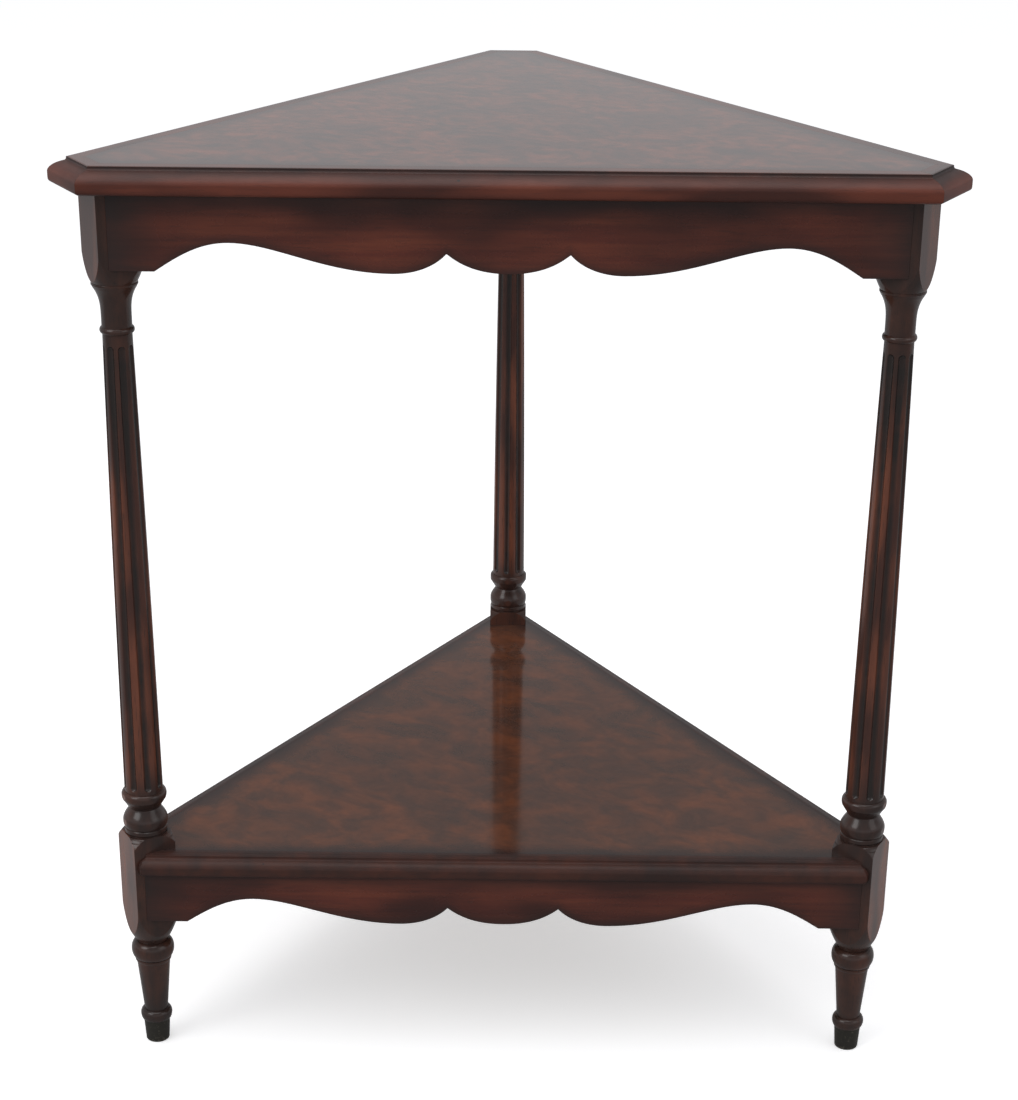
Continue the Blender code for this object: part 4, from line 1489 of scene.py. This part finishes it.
@dataclass
class Moulding:
    """The section of a board's moulded edge, from the border inside to the nose outside.

    Offsets run outwards from the field's edge, and depths downwards from the surface. The border's outer
    part is worn to a slight slope, a riser ends in a cove, a ledge leads to the nose's upper curve, and
    below its arris the nose's face curves back to the underside.
    """

    surface: float
    thickness: float
    border: float
    riser_offset: float
    riser_depth: float
    worn_width: float
    worn_depth: float
    cove_width: float
    cove_depth: float
    ledge_offset: float
    ledge_depth: float
    nose_offset: float
    arris_depth: float
    undercut: float
    cove_turn: float = math.radians(90)
    nose_start: float = 0.0
    nose_turn: float = math.radians(78)
    face_power: float = 9.0
    flat_glaze: float = 0.5
    quirk_glaze: float = 0.88
    wiped_glaze: float = 0.76
    wiped: float = 6 * MM
    # Painted shade along the bottom of the nose's face, towards the underside
    under_shade_band: float = 1.4 * MM
    under_shade_fade: float = 1.2 * MM
    under_glaze: float = 0.92
    steps: int = 14

    def section(self) -> list[tuple[float, float]]:
        """The section as pairs of offset and height.

        Returns:
            The pairs.
        """
        points = [(-self.border, 0.0)]
        for step in range(5):
            share = step / 4
            points.append((self.riser_offset - self.worn_width * (1 - share), self.worn_depth * share**1.5))
        for step in range(self.steps // 2 + 1):
            angle = self.cove_turn * step / (self.steps // 2)
            depth = self.riser_depth - self.cove_depth * (1 - math.sin(angle) / math.sin(self.cove_turn))
            away = (1 - math.cos(angle)) / (1 - math.cos(self.cove_turn))
            points.append((self.riser_offset + self.cove_width * away, depth))
        reach = self.nose_offset - self.ledge_offset
        fall = self.arris_depth - self.ledge_depth
        start, end = self.nose_start, self.nose_turn
        for step in range(self.steps + 1):
            angle = start + (end - start) * step / self.steps
            along = (math.sin(angle) - math.sin(start)) / (math.sin(end) - math.sin(start))
            down = (math.cos(start) - math.cos(angle)) / (math.cos(start) - math.cos(end))
            points.append((self.ledge_offset + reach * along, self.ledge_depth + fall * down))
        for step in range(1, self.steps + 1):
            share = step / self.steps
            inset = self.undercut * share**self.face_power
            depth = self.arris_depth + (self.thickness - self.arris_depth) * share
            points.append((self.nose_offset - inset, depth))
        points.append((-self.border, self.thickness))
        return [(offset, self.surface - depth) for offset, depth in self.spaced(points)]

    def spaced(self, points: list[tuple[float, float]]) -> list[tuple[float, float]]:
        """The points without those that lie on their neighbour.

        Args:
            points: The section's points.

        Returns:
            The points that are left.
        """
        kept = points[:1]
        for point in points[1:]:
            if math.dist(point, kept[-1]) > TOUCH:
                kept.append(point)
        return kept

    def glaze(self, offset: np.ndarray, height: np.ndarray) -> np.ndarray:
        """How deep the dark glazing lies on the moulding, with painted shade along the bottom of the nose's
        face.

        Args:
            offset: Offsets outwards from the field's edge.
            height: Heights.

        Returns:
            The depth at each point, from nothing to one.
        """
        depth = self.surface - height
        flat = (offset < self.riser_offset + MM / 10) * (depth < self.riser_depth / 2) * self.flat_glaze
        fallen = np.clip((depth - self.riser_depth / 2) / self.wiped, 0, 1)
        beyond = np.clip((offset - self.riser_offset + MM) / MM, 0, 1)
        quirk = (self.quirk_glaze - self.wiped_glaze * fallen) * beyond
        # Painted shade: the bottom of the nose's face darkens towards the underside
        low = np.clip((depth - self.thickness + self.under_shade_band) / self.under_shade_fade, 0, 1)
        under = low * self.under_glaze
        return np.maximum.reduce([flat, quirk, under])


@dataclass
class VeneeredBoard(Assembly):
    """What the top and the shelf share: a core, the veneer on it and a moulded edge round it."""

    name: str
    side_reach: float
    clip_reach: float
    moulding: Moulding
    veneer_thickness: float = 1.0 * MM
    arris: float = 0.6 * MM
    sheet_size: float = 1200 * MM
    spare: float = 10 * MM

    def veneer(self, cut: Callable[[], Piece] | None) -> Piece:
        """Lays the veneer: a square sheet sawn to the six edges, given its thickness and notched.

        Args:
            cut: Makes the tool that notches it, if any.

        Returns:
            The veneer.
        """
        bench = self.bench
        bench.clear()
        centre = self.plan.centre
        bottom = self.moulding.surface - self.veneer_thickness
        bpy.ops.mesh.primitive_plane_add(size=self.sheet_size, location=(centre.x, centre.y, bottom))
        sheet = bpy.context.object
        sheet.name = f"burl_veneer_{self.name}"
        bench.edit(sheet)
        inset = self.moulding.border + self.plan.seam
        edges = ((math.radians(270), self.side_reach), (math.radians(90), self.clip_reach))
        for turn in (0.0, THIRD, -THIRD):
            for direction, reach in edges:
                normal = Vector((math.cos(direction + turn), math.sin(direction + turn), 0))
                bench.saw(centre + normal * (reach - inset), normal, close=False)
        bench.extrude((0, 0, self.veneer_thickness))
        bench.whole(outward=True)
        bench.clear()
        if cut is not None:
            bench.combine(sheet, cut(), "DIFFERENCE")
        bench.smooth(sheet, math.radians(30))
        return sheet

    def field(self, veneer: Piece, material: bpy.types.Material) -> list[Piece]:
        """Dresses the veneer and the core under it.

        Args:
            veneer: The veneer.
            material: The veneer's material.

        Returns:
            The veneer and the core.
        """
        sheet = put_on(veneer, material, f"{self.name}_veneer")
        core = bpy.data.objects[f"{self.name}_core"]
        return [sheet, put_on(core, self.finishes.core, None)]

    def strip(self, name: str, reach: float, next_reach: float) -> Piece:
        """Shapes one straight strip of the moulded edge at the front and mitres both ends.

        Args:
            name: The strip's name.
            reach: The field's edge from the plan's centre.
            next_reach: The next strip's.

        Returns:
            The strip, round the plan's centre, in edit mode with all of it selected.
        """
        bench = self.bench
        section = self.moulding.section()
        nose = max(offset for offset, _ in section)
        half = meeting(reach + nose, next_reach + nose) + self.spare
        outline = [(-half, -reach - offset, height) for offset, height in section]
        strip = bench.board(name, outline, (2 * half, 0, 0))
        corner = meeting(reach, next_reach) - self.plan.seam
        lean = HALF_CORNER / 2
        for end in (-1, 1):
            bench.saw((end * corner, -reach, 0), (end * math.cos(lean), math.sin(lean), 0))
        return strip

    def soften(self, strip: Piece, width: float) -> None:
        """Rounds the arrises that run along the strip, and leaves the border's inner edge square.

        Args:
            strip: The strip, in edit mode.
            width: The rounding's width.
        """
        bench = self.bench

        def lengthwise(edge: Edge) -> bool:
            """Whether the edge is an outer arris that runs along the strip.

            Args:
                edge: The edge.

            Returns:
                Whether it is.
            """
            run = (edge.verts[0].co - edge.verts[1].co).normalized()
            turned = len(edge.link_faces) == 2 and edge.calc_face_angle(0) > math.radians(24)
            normals = [face.normal for face in edge.link_faces]
            ends = any(abs(normal.z) < 0.2 and abs(normal.dot(run)) > 0.4 for normal in normals)
            inner = any(normal.y > 0.9 for normal in normals)
            return turned and abs(run.z) < 0.01 and not ends and not inner

        bench.pick_edges(strip, lengthwise)
        bpy.ops.mesh.bevel(offset=width, segments=3, affect="EDGES", clamp_overlap=True)
        bench.settle(strip)

    def glaze_and_shade_at(self, reach: float) -> Shade:
        """The dark glazing and the painted shade on a strip whose field edge lies at a reach in front of the
        plan's centre.
        """
        return lambda points: self.moulding.glaze(-points[:, 1] - reach, points[:, 2])


@dataclass
class TopBoard(VeneeredBoard):
    """The top: veneer, core and six moulded strips mitred together."""

    def build(self) -> list[Piece]:
        """Makes the top's visible pieces and dresses its core.

        Returns:
            The pieces.
        """
        bench = self.bench
        pieces = self.field(self.veneer(None), self.finishes.top_veneer)
        lengths = (
            (Side, "top_edge", self.side_reach, self.clip_reach, 0.0),
            (Corner, "top_corner_edge", self.clip_reach, self.side_reach, math.pi),
        )
        for options, node, reach, next_reach, facing in lengths:
            strip = self.strip(f"{node}_pattern", reach, next_reach)
            self.soften(strip, self.arris)
            bench.smooth(strip)
            bench.record(strip, (1, 0, 0), self.glaze_and_shade_at(reach))
            pattern = Pattern(strip, "moulded", node, "mahogany", self.finishes.moulding)
            pieces += self.set_out(options, pattern, facing=facing)
        return pieces


@dataclass
class Shelf(VeneeredBoard):
    """The shelf: veneer, core and three moulded strips that turn the clipped corners up to the legs."""

    corner_round: float = 7 * MM
    return_spare: float = 6 * MM
    # Glazing and painted shade on the nose's ends, where the returns meet the leg blocks
    end_shade_band: float = 10 * MM
    end_fade: float = 9 * MM
    end_glaze: float = 0.85

    def notches(self) -> Piece:
        """The three leg blocks with a hair of clearance, which notch the shelf.

        Returns:
            The blocks, joined.
        """
        bench = self.bench
        plan = self.plan
        half = plan.leg_square / 2 + plan.seam
        blocks = []
        for corner in Corner:
            bench.clear()
            turn = turn_of(corner)
            spot = plan.centre + Vector((-math.sin(turn), math.cos(turn), 0)) * plan.leg_reach
            spot.z = plan.shelf_height
            bpy.ops.mesh.primitive_cube_add(size=2 * half, location=spot, rotation=(0, 0, turn))
            blocks.append(bpy.context.object)
        return bench.join(blocks)

    def edge(self) -> Piece:
        """The front edge with its two short returns, each the mitred end extruded along the clip.

        Returns:
            The strip, in edit mode.
        """
        bench = self.bench
        strip = self.strip("shelf_edge_pattern", self.side_reach, self.clip_reach)
        lean = HALF_CORNER / 2
        corner = meeting(self.side_reach, self.clip_reach) - self.plan.seam
        for end in (-1, 1):
            bpy.ops.mesh.select_mode(type="FACE")
            bpy.ops.mesh.select_all(action="DESELECT")
            mitre = Vector((end * math.cos(lean), math.sin(lean), 0))
            mesh = bmesh.from_edit_mesh(strip.data)
            for face in mesh.faces:
                here = (strip.location + face.calc_center_median()).x * end > 0
                face.select_set(here and face.normal.dot(mitre) > 0.999)
            bmesh.update_edit_mesh(strip.data)
            way = Vector((end * math.cos(HALF_CORNER), math.sin(HALF_CORNER), 0))
            bench.extrude(way * (meeting(self.clip_reach, self.side_reach) + self.return_spare))
            bench.whole()
            middle = Vector((end * math.sin(HALF_CORNER), -math.cos(HALF_CORNER), 0)) * self.clip_reach
            bench.saw(middle, way)
        bench.whole(outward=True)
        ledge = self.side_reach + self.moulding.ledge_offset + MM / 10

        def nose_mitre(edge: Edge) -> bool:
            """Whether the edge lies in a mitre, on the nose.

            Args:
                edge: The edge.

            Returns:
                Whether it does.
            """
            across = [abs(v.co.x) * math.cos(lean) + v.co.y * math.sin(lean) for v in edge.verts]
            fit = corner * math.cos(lean) - self.side_reach * math.sin(lean)
            return all(abs(a - fit) < MM / 50 for a in across) and all(-v.co.y > ledge for v in edge.verts)

        bench.pick_edges(strip, nose_mitre)
        bpy.ops.mesh.bevel(offset=self.corner_round, segments=7, affect="EDGES", clamp_overlap=False)
        bench.whole()
        return strip

    def build(self) -> list[Piece]:
        """Makes the shelf's visible pieces and dresses its core.

        Returns:
            The pieces.
        """
        bench = self.bench
        pieces = self.field(self.veneer(self.notches), self.finishes.shelf_veneer)
        strip = self.edge()
        self.soften(strip, self.arris)
        tool = self.notches()
        tool.location -= self.plan.centre
        bench.combine(strip, tool, "DIFFERENCE")
        bench.smooth(strip)
        bench.record(strip, (1, 0, 0), self.edge_glaze)
        pattern = Pattern(strip, "moulded", "shelf_edge", "mahogany", self.finishes.shelf_moulding)
        return pieces + self.set_out(Side, pattern)

    def edge_glaze(self, points: np.ndarray) -> np.ndarray:
        """The dark glazing and the painted shade on the shelf's edge, along the front and round both
        returns, darkest where the returns meet the leg blocks.

        Args:
            points: Points of the front edge.

        Returns:
            The depth at each point.
        """
        slant = math.sin(HALF_CORNER) * np.abs(points[:, 0]) - math.cos(HALF_CORNER) * points[:, 1]
        offset = np.maximum(-points[:, 1] - self.side_reach, slant - self.clip_reach)
        corner = meeting(self.side_reach, self.clip_reach)
        # Glazing and painted shade on the nose's ends, where the returns meet the leg blocks
        end = np.clip((np.abs(points[:, 0]) - corner + self.end_shade_band) / self.end_fade, 0, 1) * self.end_glaze
        return np.maximum(self.moulding.glaze(offset, points[:, 2]), end)


@dataclass
class Aprons(Assembly):
    """Three aprons of one depth: boards with a scalloped lower edge, sawn to the slant of the leg blocks."""

    level: Level
    top: float
    depth: float
    setout: float = 20.8 * MM
    thickness: float = 15.0 * MM
    end_margin: float = 7.5 * MM
    rise: float = 21.5 * MM
    arris: float = 0.5 * MM
    # Glazing and painted shade at the ends, beside the leg blocks
    end_fade: float = 32 * MM
    end_glaze: float = 0.85
    edge_fade: float = 9 * MM
    edge_glaze: float = 0.7
    # Painted shadow under the board above
    under_shade_fade: float = 16 * MM
    under_glaze: float = 0.6
    back_glaze: float = 0.45
    rows: int = 10
    points: int = 22
    stretches: tuple[tuple[tuple[float, float], ...], ...] = (
        ((0.0, 0.03), (0.09, 0.03), (0.14, 0.36), (0.175, 0.70)),
        ((0.175, 0.70), (0.20, 0.36), (0.25, 0.0), (0.328, 0.0)),
        ((0.328, 0.0), (0.52, 0.0), (0.66, 1.0), (0.788, 1.0)),
        ((0.788, 1.0), (0.87, 1.0), (0.93, 0.55), (1.0, 0.0)),
    )

    @property
    def outside(self) -> float:
        """From the plan's centre to the apron's outer face."""
        return self.plan.side_reach + self.setout

    def scallop(self) -> list[tuple[float, float]]:
        """The lower edge from end to end, as pairs of length along and rise.

        Returns:
            The pairs.
        """
        half_span = self.plan.block_face(self.outside - self.thickness) - self.end_margin
        half = [(0.0, self.stretches[0][0][1] * self.rise)]
        for stretch in self.stretches:
            knots = [Vector((along * half_span, rise * self.rise, 0)) for along, rise in stretch]
            half += [(point.x, point.y) for point in interpolate_bezier(*knots, self.points)[1:]]
        half.append((self.plan.block_face(self.outside) + 4 * MM, 0.0))
        return [(-along, rise) for along, rise in reversed(half)] + half[1:]

    def blank(self) -> Piece:
        """Draws the board's end and extrudes it along the front, stretched at stations to the scallop.

        Returns:
            The board, in edit mode.
        """
        bench = self.bench
        stations = self.scallop()
        y = -self.outside
        start, rise = stations[0]
        end = [(start, y, self.top), (start, y, self.top - self.depth + rise)]
        board = bench.draw(f"{self.level.value}_apron_pattern", end)
        bench.whole()
        bpy.ops.mesh.subdivide(number_cuts=self.rows - 1)
        for (here, low), (there, high) in zip(stations, stations[1:]):
            bench.extrude((there - here, 0, 0))
            ratio = (self.depth - high) / (self.depth - low)
            bpy.ops.transform.resize(value=(1, 1, ratio), center_override=(there, y, self.top))
        bench.whole()
        bench.extrude((0, self.thickness, 0))
        bench.whole(outward=True)
        return board

    def glaze(self, points: np.ndarray) -> np.ndarray:
        """How deep the dark glazing and the painted shade lie: glazing along the lower edge, glazing and
        painted shade at the ends beside the leg blocks, painted shadow under the board above, and darker on
        the back.

        Args:
            points: Points of the front apron.

        Returns:
            The depth at each point, from nothing to one.
        """
        stations = np.array(self.scallop())
        low = self.top - self.depth + np.interp(points[:, 0], stations[:, 0], stations[:, 1])
        span = self.plan.block_face(self.outside)
        # Glazing and painted shade at the ends, beside the leg blocks
        end = np.clip(1.25 - (span - np.abs(points[:, 0])) / self.end_fade, 0, 1) * self.end_glaze
        edge = np.clip(1 - (points[:, 2] - low) / self.edge_fade, 0, 1) ** 1.5 * self.edge_glaze
        # Painted shadow under the board above, along the top of the apron
        under = np.clip(1 - (self.top - points[:, 2]) / self.under_shade_fade, 0, 1) * self.under_glaze
        # Darker all over the back
        inner = (points[:, 1] > -self.outside + MM) * self.back_glaze
        return np.maximum.reduce([end, edge, under, inner])

    def build(self) -> list[Piece]:
        """Makes the three aprons.

        Returns:
            The aprons.
        """
        bench = self.bench
        board = self.blank()
        reach = self.outside
        for end in (-1, 1):
            bench.saw(
                (end * self.plan.block_face(reach, self.plan.joint / 2), -reach, 0),
                (end * math.cos(HALF_CORNER), math.sin(HALF_CORNER), 0),
            )
        bench.ease(board, self.arris, 3, math.radians(50))
        bench.smooth(board)
        bench.record(board, (1, 0, 0), self.glaze)
        node = f"{self.level.value}_apron"
        return self.set_out(Side, Pattern(board, "scalloped", node, "mahogany", self.finishes.board))


@dataclass
class CornerBlocks(Assembly):
    """Six corner blocks behind the legs, and the three screws through each."""

    apron_inside: float
    depth: float = 32.0 * MM
    upper_height: float = 25.0 * MM
    lower_height: float = 20.0 * MM
    spread: float = 14.0 * MM
    inset: float = 16.0 * MM
    arris: float = 0.8 * MM
    board_bite: float = 12.0 * MM
    leg_bite: float = 15.0 * MM
    shank: float = 2.0 * MM
    head: float = 4.0 * MM
    head_height: float = 2.4 * MM
    slot_width: float = 0.8 * MM
    point: float = 3 * MM
    steps: int = 40

    @property
    def outer(self) -> float:
        """From the plan's centre to the block's face against the leg."""
        return self.plan.leg_reach - self.plan.leg_square / 2 - self.plan.joint

    @property
    def inner(self) -> float:
        """From the plan's centre to the block's free face."""
        return self.outer - self.depth

    def block(self, top: float, height: float) -> Piece:
        """Saws one block behind the back leg: an outline extruded upwards, with eased arrises.

        Args:
            top: The height of its top.
            height: Its height.

        Returns:
            The block.
        """
        bench = self.bench
        face = self.apron_inside - self.plan.joint
        outline = [
            (side * meeting(reach, face), reach, top - height)
            for reach, side in ((self.inner, 1), (self.inner, -1), (self.outer, -1), (self.outer, 1))
        ]
        block = bench.board("corner_block_pattern", outline, (0, 0, height))
        bench.ease(block, self.arris, 2)
        bench.smooth(block, math.radians(30))
        return block

    def screw(self, length: float) -> Piece:
        """Turns one pan-headed screw that points up from its seat at zero, and cuts its slot.

        Args:
            length: The shank's length above its seat.

        Returns:
            The screw.
        """
        bench = self.bench
        top = -self.plan.joint
        profile: Profile = [(0.0, top - self.head_height)]
        for sine, cosine in quarter(8)[1:]:
            profile.append((self.head * sine**0.6, top - self.head_height * (0.35 + 0.65 * cosine)))
        profile += [(self.head, top), (self.shank, top), (self.shank, length - self.point), (0.0, length)]
        screw = bench.lathe("screw_pattern", profile, self.steps)
        bench.clear()
        bpy.ops.mesh.primitive_cube_add(size=1, location=(0, 0, top - self.head_height))
        blade = bpy.context.object
        blade.dimensions = (self.head * 3, self.slot_width, self.head_height)
        bench.settle(blade)
        bench.combine(screw, blade, "DIFFERENCE")
        bench.smooth(screw)
        return screw

    def build(self) -> list[Piece]:
        """Makes the blocks and the screws.

        Returns:
            The pieces.
        """
        pieces = []
        frames = (
            (Level.UPPER, "top", self.plan.frame_top, self.upper_height),
            (Level.LOWER, "shelf", self.plan.shelf_frame_top, self.lower_height),
        )
        lying = Matrix.Rotation(-math.pi / 2, 4, "X")
        for level, board, top, height in frames:
            name = f"{level.value}_corner_block"
            patterns = [Pattern(self.block(top, height), "sawn", name, "block_wood", self.finishes.block)]
            up, out = height + self.board_bite, self.depth + self.leg_bite
            seat, middle = (self.inner + self.inset, top - height), top - height / 2
            screws = (
                (f"{board}_screw_1", up, Matrix.Translation((self.spread, *seat))),
                (f"{board}_screw_2", up, Matrix.Translation((-self.spread, *seat))),
                (f"{level.value}_leg_screw", out, Matrix.Translation((0, self.inner, middle)) @ lying),
            )
            for node, length, place in screws:
                screw = self.screw(length)
                screw.data.transform(place)
                patterns.append(Pattern(screw, "slotted", node, "screw_steel", self.finishes.screw))
            pieces += self.set_out(Corner, *patterns)
        return pieces


@dataclass
class Studio:
    """A plain pale floor and plain soft light, each lamp with its name, place, size and power."""

    floor_size: float = 60.0
    paper_colour: str = "#F4F4F4"
    floor_colour: str = "#9C9C9C"
    paper_front: float = 0.05
    floor_front: float = -0.5
    glow: float = 0.46
    polish_tone: float = 0.5
    polish_glow: float = 0.1
    sky: float = 0.6
    sky_colour: str = "#FAFBFF"
    wall_colour: str = "#C7C7C9"
    high_colour: str = "#9E9E9F"
    wall_top: float = 0.2
    ceiling_start: float = 0.45
    aim: tuple[float, float, float] = (0.0, 0.0, 0.4)
    lamps: tuple[tuple[str, tuple[float, float, float], float, float], ...] = (
        ("soft_top", (-0.2, -0.3, 2.9), 2.3, 28.0),
        ("soft_key", (-2.0, -1.8, 2.2), 1.6, 22.0),
        ("soft_fill", (2.3, -1.6, 1.7), 1.6, 6.0),
    )

    def floor(self) -> None:
        """Lays the floor: white paper that keeps the table's shadow, on a grey floor towards the camera.

        The camera sees the paper everywhere, lifted to the white of the background.
        """
        bpy.ops.object.select_all(action="DESELECT")
        bpy.ops.mesh.primitive_plane_add(size=self.floor_size, location=(0, 0, 0))
        floor = bpy.context.object
        floor.name = "studio_floor"
        shader = Shader(bpy.data.materials.new("pale_studio_floor"))
        path = shader.add("ShaderNodeLightPath").outputs
        seen = shader.math("MAXIMUM", path["Is Camera Ray"], path["Is Transmission Ray"])
        place = shader.add("ShaderNodeTexCoord").outputs["Object"]
        back = shader.add("ShaderNodeSeparateXYZ", {"Vector": place}).outputs[1]
        papered = shader.spread(back, self.floor_front, self.paper_front, smooth=True)
        colour = shader.blend(shader.math("MAXIMUM", seen, papered), self.floor_colour, self.paper_colour)
        # The polish shows the same paper, toned down, as the photograph was taken in a room
        glossy = path["Is Glossy Ray"]
        tone = shader.spread(glossy, start=1.0, end=self.polish_tone)
        toned = shader.vector("SCALE", {0: colour, 3: tone})
        lit = shader.add("ShaderNodeBsdfDiffuse", {"Color": toned}).outputs[0]
        share = shader.math("MULTIPLY_ADD", glossy, self.polish_glow / self.glow, seen)
        strength = shader.math("MULTIPLY", share, self.glow)
        lift = shader.add("ShaderNodeEmission", {"Color": (1, 1, 1, 1), "Strength": strength}).outputs[0]
        surface = shader.add("ShaderNodeAddShader", {0: lit, 1: lift}).outputs[0]
        floor.data.materials.append(shader.finish(surface))

    def room(self) -> None:
        """Sets the room: white to the camera, grey walls and ceiling in the polish, even soft light."""
        world = bpy.data.worlds.new("soft_room")
        bpy.context.scene.world = world
        shader = Shader(world)
        path = shader.add("ShaderNodeLightPath").outputs
        way = shader.add("ShaderNodeTexCoord").outputs["Generated"]
        height = shader.add("ShaderNodeSeparateXYZ", {"Vector": way}).outputs[2]
        climb = shader.spread(height, self.wall_top, self.ceiling_start, smooth=True)
        wall = shader.blend(climb, self.wall_colour, self.high_colour)
        sources = ((linear(self.sky_colour), self.sky), (wall, 1.0), ((1, 1, 1, 1), 1.0))
        light, polish, white = (
            shader.add("ShaderNodeBackground", {"Color": colour, "Strength": strength}).outputs[0]
            for colour, strength in sources
        )
        seen = shader.math("MAXIMUM", path["Is Camera Ray"], path["Is Transmission Ray"])
        glossy = {0: path["Is Glossy Ray"], 1: light, 2: polish}
        mirrored = shader.add("ShaderNodeMixShader", glossy).outputs[0]
        shown = shader.add("ShaderNodeMixShader", {0: seen, 1: mirrored, 2: white}).outputs[0]
        shader.finish(shown, "ShaderNodeOutputWorld")

    def lamp(self, name: str, place: Sequence[float], size: float, power: float) -> None:
        """Hangs one square soft lamp, aimed at the middle of the table.

        Args:
            name: The lamp's name.
            place: Where it hangs.
            size: The length of its side.
            power: Its power in watts.
        """
        light = bpy.data.lights.new(name, "AREA")
        light.shape = "SQUARE"
        light.size = size
        light.energy = power
        lamp = bpy.data.objects.new(name, light)
        bpy.context.scene.collection.objects.link(lamp)
        lamp.location = place
        lamp.rotation_mode = "QUATERNION"
        lamp.rotation_quaternion = (Vector(self.aim) - Vector(place)).to_track_quat("-Z", "Y")

    def build(self) -> None:
        """Sets up the floor, the room and the three lamps."""
        self.floor()
        self.room()
        for name, place, size, power in self.lamps:
            self.lamp(name, place, size, power)
        bpy.context.scene.view_settings.view_transform = "Standard"


@dataclass
class Viewpoint:
    """The camera, at the place that the photograph's own lines give."""

    place: tuple[float, float, float] = (8.6 * MM, -1986.2 * MM, 1076.8 * MM)
    pitch: float = math.radians(23.7234)
    yaw: float = math.radians(-0.2704)
    roll: float = math.radians(-0.5192)
    frame_width: int = 1018
    frame_height: int = 1100
    focal: float = 2394.95
    optical_x: float = 505.286
    optical_y: float = 701.436
    sensor: float = 36.0
    clip: tuple[float, float] = (0.05, 200.0)

    def build(self) -> None:
        """Sets up the camera, whose shift stands for the photograph's crop."""
        data = bpy.data.cameras.new("photograph_view")
        camera = bpy.data.objects.new("photograph_view", data)
        bpy.context.scene.collection.objects.link(camera)
        flat = math.cos(self.pitch)
        forward = Vector((math.sin(self.yaw) * flat, math.cos(self.yaw) * flat, -math.sin(self.pitch)))
        level = Vector((math.cos(self.yaw), -math.sin(self.yaw), 0))
        down = forward.cross(level)
        right = level * math.cos(self.roll) + down * math.sin(self.roll)
        below = down * math.cos(self.roll) - level * math.sin(self.roll)
        turned = Matrix((right, -below, -forward)).transposed().to_4x4()
        camera.matrix_world = Matrix.Translation(self.place) @ turned
        long_side = max(self.frame_width, self.frame_height)
        data.sensor_width = self.sensor
        data.lens = self.focal / long_side * self.sensor
        data.shift_x = (self.frame_width / 2 - self.optical_x) / long_side
        data.shift_y = (self.optical_y - self.frame_height / 2) / long_side
        data.clip_start, data.clip_end = self.clip
        bpy.context.scene.camera = camera


def top_moulding(plan: Plan) -> Moulding:
    """The top's moulded edge.

    Args:
        plan: The shared sizes.

    Returns:
        The moulding.
    """
    return Moulding(
        surface=plan.table_height,
        thickness=plan.top_thickness,
        border=12 * MM,
        riser_offset=0.0,
        riser_depth=2.7 * MM,
        worn_width=2 * MM,
        worn_depth=0.2 * MM,
        cove_width=1.0 * MM,
        cove_depth=1.6 * MM,
        ledge_offset=1.05 * MM,
        ledge_depth=2.73 * MM,
        nose_offset=12.5 * MM,
        arris_depth=10.6 * MM,
        undercut=4.5 * MM,
        cove_turn=math.radians(50),
        nose_start=math.radians(30),
        nose_turn=math.radians(86),
        wiped=8 * MM,
    )


def shelf_moulding(plan: Plan) -> Moulding:
    """The shelf's moulded edge.

    Args:
        plan: The shared sizes.

    Returns:
        The moulding.
    """
    return Moulding(
        surface=plan.shelf_height,
        thickness=plan.shelf_thickness,
        border=11 * MM,
        riser_offset=-2.3 * MM,
        riser_depth=3.7 * MM,
        worn_width=6.8 * MM,
        worn_depth=0.9 * MM,
        cove_width=0.8 * MM,
        cove_depth=1.4 * MM,
        ledge_offset=-1.45 * MM,
        ledge_depth=3.74 * MM,
        nose_offset=4.25 * MM,
        arris_depth=9.8 * MM,
        undercut=2.5 * MM,
        cove_turn=math.radians(50),
        nose_start=math.radians(34),
        nose_turn=math.radians(86),
        flat_glaze=0.88,
        wiped=3 * MM,
    )


def main() -> None:
    """Builds the table, piece by piece, and sets up its studio and camera."""
    logging.basicConfig(level=logging.INFO, format="%(message)s")
    plan = Plan()
    bench = Bench(plan)
    tools = (plan, bench, Finishes.mixed(plan))
    upper = Aprons(*tools, Level.UPPER, plan.frame_top, plan.upper_apron)
    lower = Aprons(*tools, Level.LOWER, plan.shelf_frame_top, plan.lower_apron)
    top = TopBoard(*tools, "top", *plan.top_reaches, top_moulding(plan))
    shelf = Shelf(*tools, "shelf", *plan.shelf_reaches, shelf_moulding(plan))
    blocks = CornerBlocks(*tools, upper.outside - upper.thickness)
    for assembly in (TurnedLegs(*tools), Ferrules(*tools), top, shelf, upper, lower, blocks):
        pieces = assembly.build()
        LOG.info("%s: %d pieces", type(assembly).__name__, len(pieces))
    bench.clear()
    Studio().build()
    Viewpoint().build()


if __name__ == "__main__":
    main()
